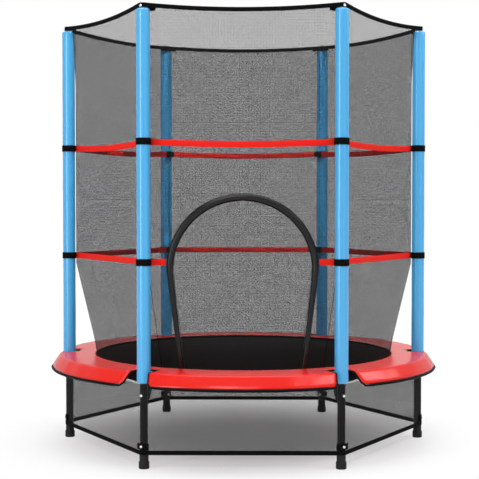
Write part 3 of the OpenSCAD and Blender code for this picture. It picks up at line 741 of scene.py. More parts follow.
@cache
def net_group() -> Tree:
    """Makes the group for the threads of a knitted net, by the piece's own UV map in metres.

    The thin threads wander a little; the ribs are straight.

    Returns:
        A group that gives the cover, 1 on a thread and 0 in a hole.
    """
    sheet = GroupSheet("Net threads", "ShaderNodeTree", {
        "Pitch": (Input.FLOAT, 0.0017), "Rib pitch": (Input.FLOAT, 0.0102),
        "Level thread": (Input.FLOAT, 0.0005), "Level rib": (Input.FLOAT, 0.0008),
        "Upright thread": (Input.FLOAT, 0.0005), "Upright rib": (Input.FLOAT, 0.0008),
        "Unevenness": (Input.FLOAT, 0.002)}, {"Cover": Input.FLOAT})
    given = sheet.given
    place = sheet.add("ShaderNodeTexCoord").outputs
    wander = sheet.add("ShaderNodeTexNoise", {"Vector": place["Object"], "Scale": 210.0, "Detail": 0.0})
    middle = sheet.vector("SUBTRACT", wander.outputs["Color"], (0.5, 0.5, 0.5))
    moved = sheet.vector("ADD", place["UV"], sheet.vector("SCALE", middle, given["Unevenness"]))
    uneven = sheet.add("ShaderNodeSeparateXYZ", {0: moved}).outputs
    straight = sheet.add("ShaderNodeSeparateXYZ", {0: place["UV"]}).outputs
    cover = None
    for axis, word in (("X", "Upright"), ("Y", "Level")):
        for lines, pitch, width in ((uneven, "Pitch", f"{word} thread"),
                                    (straight, "Rib pitch", f"{word} rib")):
            steps = sheet.math("DIVIDE", lines[axis], given[pitch])
            turn = sheet.math("FRACT", sheet.math("ADD", steps, 0.5))
            off = sheet.math("ABSOLUTE", sheet.math("SUBTRACT", turn, 0.5))
            half = sheet.math("MULTIPLY", sheet.math("DIVIDE", given[width], given[pitch]), 0.5)
            thread = sheet.math("LESS_THAN", off, half)
            cover = sheet.math("MAXIMUM", cover, thread) if cover else thread
    return sheet.results({"Cover": cover})


def grey(level: float) -> Colour:
    """Gives a grey colour."""
    return (level, level, level)


def blank(name: str) -> tuple[Material, NodeSheet, object]:
    """Makes a material that has only its main shader.

    Args:
        name: Name of the material.

    Returns:
        The material, its sheet and its main shader's inputs.
    """
    material = bpy.data.materials.new(name)
    material.use_nodes = True
    shader = next(n for n in material.node_tree.nodes if n.type == "BSDF_PRINCIPLED")
    return material, NodeSheet(material.node_tree), shader.inputs


@dataclass(frozen=True)
class Finish:
    """A procedural finish: its name, colour, gloss and fine grain."""

    name: str
    colour: Colour
    roughness: float = 0.5
    metallic: float = 0.0
    specular: float = 0.5
    grain_scale: float = 500.0
    grain_depth: float = 0.00005
    tint: float = 0.12
    spread: float = 0.1

    def build(self) -> Material:
        """Makes the material.

        Returns:
            The material.
        """
        material, sheet, shader = blank(self.name)
        material.diffuse_color = (*self.colour, 1.0)
        sheet.fill(shader, {"Metallic": self.metallic, "Roughness": self.roughness,
                            "Specular IOR Level": self.specular, "Base Color": (*self.colour, 1.0)})
        grain = sheet.add("ShaderNodeGroup", node_tree=grain_group())
        sheet.fill(grain.inputs, {"Scale": self.grain_scale, "Colour": (*self.colour, 1.0),
                                  "Tint": self.tint, "Roughness": self.roughness, "Spread": self.spread})
        self.dress(sheet, shader, grain.outputs)
        return material

    def dress(self, sheet: NodeSheet, shader: object, grain: object) -> None:
        """Links the finish's own nodes to the shader.

        Args:
            sheet: The material's sheet.
            shader: The main shader's inputs.
            grain: The grain group's outputs.
        """
        sheet.fill(shader, {"Base Color": grain["Colour"], "Roughness": grain["Roughness"]})
        self.bump(sheet, shader, grain["Height"], self.grain_depth)

    def bump(self, sheet: NodeSheet, shader: object, height: Socket, depth: float) -> None:
        """Adds relief.

        Args:
            sheet: The material's sheet.
            shader: The main shader's inputs.
            height: The relief's height, from 0 to 1.
            depth: Depth in metres.
        """
        relief = sheet.add("ShaderNodeBump", {"Strength": 1.0, "Distance": depth, "Height": height})
        sheet.fill(shader, {"Normal": relief.outputs[0]})


@dataclass(frozen=True)
class Cloth(Finish):
    """Woven band, webbing or mat cloth."""

    pitch: float = 0.002
    weave_depth: float = 0.0002
    weave_hollow_shade: float = 0.5

    def dress(self, sheet: NodeSheet, shader: object, grain: object) -> None:
        """Adds the weave, with painted shade that darkens its hollows.

        Args:
            sheet: The material's sheet.
            shader: The main shader's inputs.
            grain: The grain group's outputs.
        """
        weave = sheet.add("ShaderNodeGroup", node_tree=weave_group())
        sheet.fill(weave.inputs, {"Pitch": self.pitch})
        # Painted shade: the weave's hollows are mixed towards this darker copy of the colour.
        dark = tuple(c * (1 - self.weave_hollow_shade) for c in self.colour)
        mixed = sheet.add("ShaderNodeMix", data_type="RGBA")
        sheet.fill(mixed.inputs, {0: weave.outputs["Shade"], 6: (*dark, 1.0), 7: grain["Colour"]})
        sheet.fill(shader, {"Base Color": mixed.outputs[2], "Roughness": grain["Roughness"]})
        self.bump(sheet, shader, weave.outputs["Height"], self.weave_depth)


@dataclass(frozen=True)
class Net(Finish):
    """Black knitted net: fine threads with a heavier rib every few holes, in metres."""

    pitch: float = 0.0017
    rib_pitch: float = 0.0102
    level: Flat = (0.00054, 0.00062)
    upright: Flat = (0.00054, 0.00045)
    unevenness: float = 0.0024
    shade: float = 0.25

    def dress(self, sheet: NodeSheet, shader: object, grain: object) -> None:
        """Adds the threads as cover; the thin threads throw a weaker shadow than a full sheet.

        Args:
            sheet: The material's sheet.
            shader: The main shader's inputs.
            grain: The grain group's outputs.
        """
        threads = sheet.add("ShaderNodeGroup", node_tree=net_group())
        sheet.fill(threads.inputs, {
            "Pitch": self.pitch, "Rib pitch": self.rib_pitch, "Level thread": self.level[0],
            "Level rib": self.level[1], "Upright thread": self.upright[0], "Upright rib": self.upright[1],
            "Unevenness": self.unevenness})
        in_shadow = sheet.add("ShaderNodeLightPath").outputs["Is Shadow Ray"]
        weaker = sheet.math("MULTIPLY_ADD", in_shadow, self.shade - 1.0, 1.0)
        cover = sheet.math("MULTIPLY", threads.outputs["Cover"], weaker)
        sheet.fill(shader, {"Base Color": grain["Colour"], "Alpha": cover})


@dataclass(frozen=True)
class Palette:
    """The finishes of the whole trampoline, by the record's slots, and the lower net's."""

    finishes: tuple[tuple[str, Finish], ...] = (
        ("black_steel", Finish("Black powder coat", grey(0.0075), 0.3, specular=0.55,
                               grain_scale=900.0, grain_depth=0.00004)),
        ("pole_steel", Finish("Dull zinc-plated tube", (0.14, 0.14, 0.145), 0.55, metallic=1.0)),
        ("zinc_steel", Finish("Bright zinc", (0.78, 0.79, 0.8), 0.22, metallic=1.0, spread=0.2)),
        ("foot_rubber", Finish("Black rubber", grey(0.009), 0.6, specular=0.25)),
        ("cap_plastic", Finish("Black moulded plastic", grey(0.009), 0.4, specular=0.3)),
        ("blue_foam", Finish("Blue foam", (0.062, 0.415, 0.79), 0.24, specular=0.7,
                             grain_scale=1600.0, grain_depth=0.00006, tint=0.06)),
        ("red_vinyl", Finish("Red glossy vinyl", (0.76, 0.011, 0.005), 0.22, specular=0.33,
                             grain_scale=160.0, grain_depth=0.0002, tint=0.04, spread=0.12)),
        ("black_binding", Finish("Black vinyl binding", grey(0.005), 0.5, specular=0.05)),
        ("mat_fabric", Cloth("Black mat cloth", grey(0.0128), 0.85, specular=0.0, pitch=0.0024)),
        ("net", Net("Black net", grey(0.0075), 0.7, specular=0.05)),
        ("plain_net", Net("Black net without ribs", grey(0.0075), 0.7, specular=0.05,
                          level=(0.0006, 0.0), upright=(0.00059, 0.0))),
        ("black_webbing", Cloth("Black webbing", grey(0.0065), 0.6, specular=0.01, pitch=0.0016)),
        ("red_webbing", Cloth("Red webbing", (0.87, 0.017, 0.009), 0.55, specular=0.1, pitch=0.0016,
                              weave_hollow_shade=0.25)),
        ("arch_padding", Cloth("Black padded sleeve", grey(0.007), 0.22, specular=0.28, pitch=0.0014)),
        ("zip_tape", Cloth("Black zip tape", grey(0.0125), 0.7, specular=0.1, pitch=0.001)),
        ("zip_metal", Finish("Zip metal", (0.42, 0.43, 0.44), 0.3, metallic=1.0)),
    )

    def build(self) -> dict[str, Material]:
        """Makes every material.

        Returns:
            The materials by slot.
        """
        made = {slot: finish.build() for slot, finish in self.finishes}
        LOG.info("%d finishes", len(made))
        return made


@dataclass
class Workshop:
    """What each sub-assembly needs while it is built."""

    layout: Layout
    materials: dict[str, Material]

    def dress(self, item: Item, slot: str, *nodes: str, look: str | None = None) -> None:
        """Gives a piece its material and hides the frame's nodes that it stands for.

        Args:
            item: The piece.
            slot: The record's slot.
            *nodes: Nodes that it replaces.
            look: The finish, where it isn't the slot's own.
        """
        item.data.materials.clear()
        item.data.materials.append(self.materials[look or slot])
        if nodes:
            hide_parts(*nodes)
        triangles = sum(len(p.vertices) - 2 for p in item.data.polygons)
        LOG.info("%s: %d triangles", item.name, triangles)

    def fit(self, item: Item, slot: str, *nodes: str, look: str | None = None) -> None:
        """Dresses a piece that stays with the frame.

        Args:
            item: The piece.
            slot: The record's slot.
            *nodes: Nodes that it replaces.
            look: The finish, where it isn't the slot's own.
        """
        self.dress(item, slot, *nodes, look=look)
        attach(item, Body.FRAME.value)

    def tube(self, name: str, line: Sequence[Point], radii: Sequence[float], slot: str,
             sides: int = 12, closed: bool = False) -> Item:
        """Makes a round tube along a line.

        Args:
            name: Name of the piece.
            line: Its points.
            radii: Radius at each point.
            slot: The record's slot.
            sides: Sides of the tube.
            closed: Whether the line closes on itself.

        Returns:
            The piece.
        """
        return grow(line_object(name, [line], closed, [radii]), tube_tree(), Sides=sides,
                    Fill_ends=not closed, Material=self.materials[slot])

    def repeat(self, item: Item, slot: str, count: int = SIDES, first: float = 0.0) -> Item:
        """Repeats a piece all round the trampoline.

        Args:
            item: The piece.
            slot: The record's slot.
            count: Number of copies.
            first: Angle of the first copy, as a share of a step.

        Returns:
            The piece, now all of its copies.
        """
        step = FULL_TURN / count
        return grow(item, round_tree(), Count=count, First_angle=first * step, Step=step,
                    Material=self.materials[slot])

    def sew(self, name: str, lines: Iterable[Sequence[Point]], slot: str, closed: bool = False,
            **values: float) -> Item:
        """Makes stitches or teeth along lines.

        Args:
            name: Name of the piece.
            lines: Rows of points.
            slot: The record's slot.
            closed: Whether each row closes on itself.
            **values: The stitch tree's inputs.

        Returns:
            The piece.
        """
        return grow(line_object(name, lines, closed), stitch_tree(), Material=self.materials[slot],
                    **values)


@dataclass
class SubAssembly:
    """A group of the trampoline's pieces, built with the shared layout and materials."""

    shop: Workshop

    @property
    def lay(self) -> Layout:
        """The places that the sub-assemblies share."""
        return self.shop.layout

    def build(self) -> None:
        """Builds and dresses the group's pieces."""
        raise NotImplementedError


# ---------------------------------------------------------------- sub-assemblies


@dataclass
class SteelAndFittings(SubAssembly):
    """The frame's own nodes that stay as they are: legs, ring, poles, fasteners and zip metal."""

    slots: tuple[tuple[str, str], ...] = (
        ("leg_", "black_steel"), ("foot_cap_", "foot_rubber"), ("pole_caps", "cap_plastic"),
        ("pole_", "pole_steel"), ("ring_segment_", "black_steel"), ("ring_bracket_", "black_steel"),
        ("bolts", "zinc_steel"), ("nuts", "zinc_steel"), ("zip_slider", "zip_metal"),
        ("zip_pull", "zip_metal"),
    )
    left_out: tuple[str, ...] = ("pole_ties",)

    def build(self) -> None:
        """Paints each kept node."""
        painted = 0
        for name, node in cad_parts.items():
            slot = next((s for start, s in self.slots if name.startswith(start)), None)
            if slot is None or name in self.left_out:
                continue
            self.shop.dress(node, slot)
            painted += 1
        LOG.info("%d steel and fitting nodes painted", painted)


@dataclass
class FoamSleeves(SubAssembly):
    """The padded foam sleeve round each pole."""

    end_round: float = 0.007
    bore_r: float = 0.0128
    rows: int = 60
    unevenness: float = 0.0005

    def outline(self, low: float, high: float, radius: float) -> list[Flat]:
        """Gives half the lengthwise section.

        Args:
            low: Height of the lower end.
            high: Height of the upper end.
            radius: Outer radius.

        Returns:
            Closed outline of (radius, height) points.
        """
        r = self.end_round
        out = []
        for cz, a0 in ((low + r, -90), (high - r, 0)):
            angles = [math.radians(a0 + 15 * k) for k in range(7)]
            out += [(radius - r + r * math.cos(a), cz + r * math.sin(a)) for a in angles]
            if a0 < 0:
                out += [(radius, lerp(low + r, high - r, k / self.rows)) for k in range(1, self.rows)]
        out += [(self.bore_r, high), (self.bore_r, low)]
        return out

    def build(self) -> None:
        """Builds and dresses the six sleeves."""
        low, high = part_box("foam_sleeve_1")
        for i in range(SIDES):
            rng = random.Random(SEED + i)
            phases = [(rng.uniform(0, 6.3), rng.uniform(6, 40), rng.randint(0, 3)) for _ in range(6)]

            def swell(a: float, z: float, waves: Sequence[tuple[float, float, int]] = phases) -> float:
                """Gives the foam's unevenness at an angle and a height."""
                total = sum(math.sin(p + f * z + m * a) for p, f, m in waves)
                return self.unevenness * total / len(waves) - self.unevenness

            centre = polar(self.lay.pole_circle, SIDE_ANGLE * i)
            item = lathe(f"foam_sleeve_skin_{i + 1}", self.outline(low.z, high.z, self.lay.foam_r),
                         centre, 48, swell)
            self.shop.fit(item, "blue_foam", f"foam_sleeve_{i + 1}")


Row = tuple[float, Flat, Flat]
Pair = tuple[int, int]


@dataclass
class SafetyPad(SubAssembly):
    """The padded vinyl ring over the springs, with a slot round each pole and piping on its edges."""

    inner_r: float = 0.5735
    z_low: float = 0.3303
    z_high: float = 0.3393
    crown: float = 0.002
    bend_r: float = 0.016
    bend_c: float = 0.70005
    slope: float = 55.0
    outer_r: float = 0.738
    low_edge: float = 0.297
    slot_r: float = 0.6405
    slot_top: float = 0.0385
    slot_bottom: float = 0.0495
    slot_flare: float = 0.009
    slot_drop: float = 0.0045
    pinch: float = 0.0135
    pinch_t: float = 0.003
    columns: int = 44
    front: int = 6
    ripple: float = 0.0012
    piping_r: float = 0.005
    piping_gap: float = 0.0003
    piping_turn: float = 1.6
    slot_piping_r: float = 0.0034
    slot_inset: float = 0.001
    slot_corner: float = 0.008

    def rows(self) -> list[Row]:
        """Gives the pad's cross-section as pairs of points.

        Returns:
            Rows of (run along the pad, upper point, lower point), each point (radius, height).
        """
        t = self.z_high - self.z_low
        flat = self.bend_c - self.inner_r
        slope = math.radians(self.slope)
        out = []
        marks = [0.0, 0.002, 0.006, 0.012, 0.02, 0.035, 0.05, self.slot_r - self.inner_r - 0.004]
        marks += [self.slot_r - self.inner_r + d for d in (0.0, 0.004, 0.01, 0.018, 0.028, 0.04, 0.052)]
        for x in [m for m in marks if m < flat - 0.002]:
            up = self.crown * math.sin(math.pi * x / flat)
            out.append((x, (self.inner_r + x, self.z_high + up), (self.inner_r + x, self.z_low)))
        cz = self.z_high - self.bend_r
        for k in range(9):
            a = slope * k / 8
            s, c = math.sin(a), math.cos(a)
            out.append((flat + self.bend_r * a, (self.bend_c + self.bend_r * s, cz + self.bend_r * c),
                        (self.bend_c + (self.bend_r - t) * s, cz + (self.bend_r - t) * c)))
        run0, top, under = out[-1]
        length = (top[1] - self.low_edge) / math.sin(slope)
        for share in (0.15, 0.35, 0.55, 0.72, 0.84, 0.93, 0.975, 1.0):
            d = length * share
            step = (d * math.cos(slope), -d * math.sin(slope))
            out.append((run0 + d, (top[0] + step[0], top[1] + step[1]),
                        (under[0] + step[0], under[1] + step[1])))
        return out

    def slot_half(self, z: float) -> float:
        """Gives half the width of a slot at a height.

        Args:
            z: The height.

        Returns:
            Half the width, wider towards the lower edge.
        """
        z_top, z_low = self.z_high - self.slot_drop, self.low_edge + self.slot_flare
        if z >= z_low:
            return lerp(self.slot_bottom, self.slot_top, min(1.0, (z - z_low) / (z_top - z_low)))
        down = min(1.0, (z_low - z) / self.slot_flare)
        return self.slot_bottom + self.slot_flare * (1 - math.sqrt(1 - down * down))

    def waves(self) -> Callable[[float], float]:
        """Gives a soft ripple round the pad.

        Returns:
            A function from an angle in degrees to a share from -1 to 1.
        """
        rng = random.Random(SEED)
        parts = [(rng.randint(9, 55), rng.uniform(0, 6.28), rng.uniform(0.4, 1)) for _ in range(9)]
        total = sum(w for _, _, w in parts)

        def share(degrees: float) -> float:
            """Gives the ripple at an angle."""
            a = math.radians(degrees)
            return sum(w * math.sin(n * a + p) for n, p, w in parts) / total * 1.8

        return share

    def surface_pair(self, row: Row, end: float, side: float, angle: float,
                     wave: float) -> list[Point]:
        """Pinches one row towards the pad's edges and turns it into place.

        Args:
            row: A row of the cross-section.
            end: Distance to the pad's inner or lower edge.
            side: Distance to the nearest slot.
            angle: Angle in degrees.
            wave: Ripple at this angle.

        Returns:
            The upper and the lower point.
        """
        run, (ur, uz), (lr, lz) = row
        near = min(end, side)
        fill = 1.0
        if near < self.pinch:
            fill = math.sqrt(max(0.0, 1 - (1 - near / self.pinch) ** 2))
        t = math.hypot(ur - lr, uz - lz)
        keep = (self.pinch_t + (t - self.pinch_t) * fill) / t
        mr, mz = (ur + lr) / 2, (uz + lz) / 2
        lift = self.ripple * wave * min(1.0, max(0.0, run - 0.04) / 0.12)
        nr, nz = (ur - lr) / t, (uz - lz) / t
        pair = []
        for r, z in ((ur, uz), (lr, lz)):
            r2, z2 = mr + (r - mr) * keep + nr * lift, mz + (z - mz) * keep + nz * lift
            pair.append(polar(r2, angle, z2))
        return pair

    def panel_faces(self, grid: list[list[Pair]], split: int) -> list[tuple[int, ...]]:
        """Gives the faces of a closed panel.

        Args:
            grid: Numbers of the upper and the lower point, row by row.
            split: Row from which the panel's sides are closed.

        Returns:
            The faces.
        """
        faces: list[tuple[int, ...]] = []
        columns = len(grid[0]) - 1
        for j, (here, after) in enumerate(zip(grid, grid[1:])):
            for k in range(columns):
                (a, a2), (b, b2), (c, c2), (d, d2) = here[k], here[k + 1], after[k + 1], after[k]
                faces += [(a, d, c, b), (a2, b2, c2, d2)]
            if j >= split:
                for k, flip in ((0, False), (columns, True)):
                    quad = (*here[k], *reversed(after[k]))
                    faces.append(quad[::-1] if flip else quad)
        first, last = grid[0], grid[-1]
        for k in range(columns):
            faces.append((first[k][0], first[k + 1][0], first[k + 1][1], first[k][1]))
            faces.append((last[k][1], last[k + 1][1], last[k + 1][0], last[k][0]))
        return faces

    def build(self) -> None:
        """Builds and dresses the pad and its piping."""
        rows = self.rows()
        full = rows[-1][0]
        wave = self.waves()
        points: list[Point] = []
        faces: list[tuple[int, ...]] = []
        split = next(k for k, r in enumerate(rows) if r[1][0] >= self.slot_r - 1e-6)
        e0 = math.degrees(math.asin(self.slot_top / self.slot_r))

        def pair(row: Row, end: float, side: float, angle: float) -> Pair:
            """Adds a row's two points and gives their numbers."""
            points.extend(self.surface_pair(row, end, side, angle, wave(angle)))
            return len(points) - 2, len(points) - 1

        for base in (SIDE_ANGLE * i for i in range(SIDES)):
            grid = []
            for j, row in enumerate(rows):
                (upper_r, upper_z), (lower_r, lower_z) = row[1:]
                r, z = (upper_r + lower_r) / 2, (upper_z + lower_z) / 2
                edge = e0 if j < split else math.degrees(math.asin(min(1.0, self.slot_half(z) / r)))
                line = []
                for k in range(self.columns + 1):
                    a = lerp(edge, SIDE_ANGLE - edge, k / self.columns)
                    if j >= split:
                        side = math.radians(min(a - edge, SIDE_ANGLE - edge - a)) * r
                    else:
                        past = max(0.0, math.radians(min(a, SIDE_ANGLE - a) - e0)) * r
                        side = math.hypot(past, self.slot_r - r)
                    line.append(pair(row, min(row[0], full - row[0]), side, base + a))
                grid.append(line)
            faces += self.panel_faces(grid, split)
            front = [[pair(row, row[0], max(0.0, self.slot_r - row[1][0]),
                           base + lerp(-e0, e0, k / self.front)) for k in range(self.front + 1)]
                     for row in rows[:split + 1]]
            faces += self.panel_faces(front, len(front))
        item = outwards(joined("safety_pad", [mesh_object("safety_pad", points, faces)]))
        self.shop.fit(item, "red_vinyl", "pad")
        self.piping()

    def slot_path(self) -> list[tuple[Point, float]]:
        """Gives the piping's way up one side of the slot at 0 degrees, from the lower edge inwards.

        Returns:
            Points with their radii.
        """
        out: list[tuple[Point, float]] = []
        for _, (ur, uz), (lr, lz) in reversed(self.rows()):
            r, z = (ur + lr) / 2, (uz + lz) / 2
            if r < self.slot_r - 1e-6:
                break
            half = self.slot_half(z) - self.slot_inset
            x = math.sqrt(max(r * r - half * half, 0.0))
            out.append(((x, half, z), self.slot_piping_r))
        corner, inset = self.slot_corner, self.slot_inset
        x_in, half = self.slot_r + inset, self.slot_top - inset
        out = [q for q in out if q[0][0] > x_in + corner + inset]
        z = (self.z_high + self.z_low) / 2 + self.crown / 2
        for k in range(6):
            a = math.radians(90 * k / 5)
            out.append(((x_in + corner * (1 - math.sin(a)), half - corner * (1 - math.cos(a)), z),
                        self.slot_piping_r))
        return out

    def piping(self) -> None:
        """Builds the piping: one loop along the lower edge and round every slot."""
        slope = math.radians(self.slope)
        t = self.z_high - self.z_low
        edge = (self.outer_r - t / 2 * math.sin(slope), self.low_edge - t / 2 * math.cos(slope))
        reach = self.piping_r + self.piping_gap
        r_low, z_low = edge[0] + reach * math.cos(slope), edge[1] - reach * math.sin(slope)
        side = self.slot_path()
        corner = math.degrees(math.asin((self.slot_bottom + self.piping_turn * self.slot_flare) / r_low))
        wave = self.waves()
        slot = [((x, -y, z), r) for (x, y, z), r in side[1:-1]] + side[::-1]
        loop: list[Point] = []
        radii: list[float] = []
        steps = 32
        for i in range(SIDES):
            base = SIDE_ANGLE * i
            loop += [turned(p, base) for p, _ in slot]
            radii += [r for _, r in slot]
            for k in range(steps + 1):
                a = lerp(corner, SIDE_ANGLE - corner, k / steps)
                lift = self.ripple * wave(base + a)
                loop.append(polar(r_low + lift * math.sin(slope), base + a, z_low + lift * math.cos(slope)))
                full = min(1.0, min(k, steps - k) / 2)
                radii.append(lerp(self.slot_piping_r, self.piping_r, full))
        item = self.shop.tube("pad_piping", loop, radii, "black_binding", closed=True)
        self.shop.fit(item, "black_binding", "pad_trim")


@dataclass
class JumpingMat(SubAssembly):
    """The woven mat with its edge webbing, V-rings and springs."""

    thickness: float = 0.0015
    hold_r: float = 0.536
    free_r: float = 0.15
    eye_r: float = 0.0004
    sectors: int = 24
    rings: int = 22
    webbing: tuple[float, float, float, float] = (0.54, 0.572, 0.326, 0.3285)
    vring_z: float = 0.3245
    vring_wire: float = 0.0015
    vring: Size = (0.0155, 0.0125, 0.0035)
    vring_corner: float = 0.0022
    spring_z: float = 0.3197
    spring_wire: float = 0.001
    spring_mean_r: float = 0.005
    coil: Flat = (0.59, 0.624)
    turns: int = 15
    springs: int = 36

    def build(self) -> None:
        """Builds and dresses the mat and what holds it."""
        self.cloth()
        self.edge()
        self.hardware()

    def cloth(self) -> None:
        """Builds the cloth in flat sectors."""
        _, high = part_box("mat")
        outer, top = high.x, high.z
        low = top - self.thickness
        steps = 4
        width = 360 / self.sectors
        for s in range(self.sectors):
            points = [polar(lerp(self.eye_r, outer, j / self.rings), width * (s + k / steps), z)
                      for z in (top, low) for j in range(self.rings + 1) for k in range(steps + 1)]
            uvs = [(x, y) for x, y, _ in points]
            n = (self.rings + 1) * (steps + 1)
            faces: list[tuple[int, ...]] = []
            for quad in grid_faces(self.rings + 1, steps + 1):
                faces.append(quad[::-1])
                faces.append(tuple(n + q for q in quad))
            rim = ([k for k in range(steps + 1)]
                   + [j * (steps + 1) + steps for j in range(1, self.rings + 1)]
                   + [self.rings * (steps + 1) + k for k in range(steps - 1, -1, -1)]
                   + [j * (steps + 1) for j in range(self.rings - 1, 0, -1)])
            for a, b in zip(rim, rim[1:] + rim[:1]):
                faces.append((a, b, n + b, n + a))
            item = outwards(mesh_object(f"mat_cloth_{s + 1}", points, faces, uvs, smooth=False))
            self.shop.dress(item, "mat_fabric", "mat")
            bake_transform(item)

    def still(self, item: Item) -> None:
        """Bakes the placement of a piece of the mat's edge.

        Args:
            item: The piece.
        """
        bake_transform(item)

    def edge(self) -> None:
        """Builds the webbing under the mat's edge, with its stitching."""
        r0, r1, z0, z1 = self.webbing
        ring = [(r0, z0), (r1, z0), (r1, z1), (r0, z1)]
        item = lathe("mat_edge_webbing", ring)
        self.shop.dress(item, "black_webbing", "mat_webbing")
        self.still(item)
        rows = [[polar(r, 5 * k, z1 + self.thickness) for k in range(72)]
                for r in (r0 + 0.004, r0 + 0.012, r1 - 0.006)]
        thread = self.shop.sew("mat_edge_stitching", rows, "black_webbing", closed=True,
                               Spacing=0.008, Length=0.0055, Thickness=0.0009)
        self.shop.dress(thread, "black_webbing")
        self.still(thread)

    def hardware(self) -> None:
        """Builds the V-rings and the springs."""
        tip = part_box("v_rings")[1].x - self.vring_wire
        length, half_base, half_tip = self.vring
        base = tip - length
        corner = [(base, half_base), (tip, half_tip), (tip, -half_tip), (base, -half_base)]
        line: list[Point] = []
        for k, (x, y) in enumerate(corner):
            for other in (corner[k - 1], corner[(k + 1) % 4]):
                t = self.vring_corner / math.dist((x, y), other)
                line.append((lerp(x, other[0], t), lerp(y, other[1], t), self.vring_z))
        rings = self.shop.tube("v_ring_wires", line, [self.vring_wire] * len(line), "zinc_steel", 8,
                               closed=True)
        self.shop.repeat(rings, "zinc_steel", self.springs, 0.5)
        self.shop.dress(rings, "zinc_steel", "v_rings")
        self.still(rings)
        z, r0, r1 = self.spring_z, *self.coil
        hook_r = self.vring_z - z
        hook = [(tip - hook_r * math.sin(a), 0.0, self.vring_z - hook_r * math.cos(a))
                for a in (math.radians(degrees) for degrees in range(180, -1, -20))]
        coil = []
        per_turn = 12
        for k in range(self.turns * per_turn + 1):
            a = FULL_TURN * k / per_turn
            x = lerp(r0 + 0.001, r1 - 0.001, k / (self.turns * per_turn))
            coil.append((x, self.spring_mean_r * math.sin(a), z + self.spring_mean_r * math.cos(a)))
        tail = [(r1 + 0.001, 0.0, z), (r1 + 0.0085, 0.0, z), (r1 + 0.0112, 0.0, z - 0.0012),
                (r1 + 0.0122, 0.0, z - 0.004), (r1 + 0.0122, 0.0, z - 0.008)]
        wire = hook + [(r0 - 0.003, 0.0, z)] + coil + tail
        item = self.shop.tube("extension_springs", wire, [self.spring_wire] * len(wire), "zinc_steel", 5)
        self.shop.repeat(item, "zinc_steel", self.springs, 0.5)
        self.shop.fit(item, "zinc_steel", "springs")


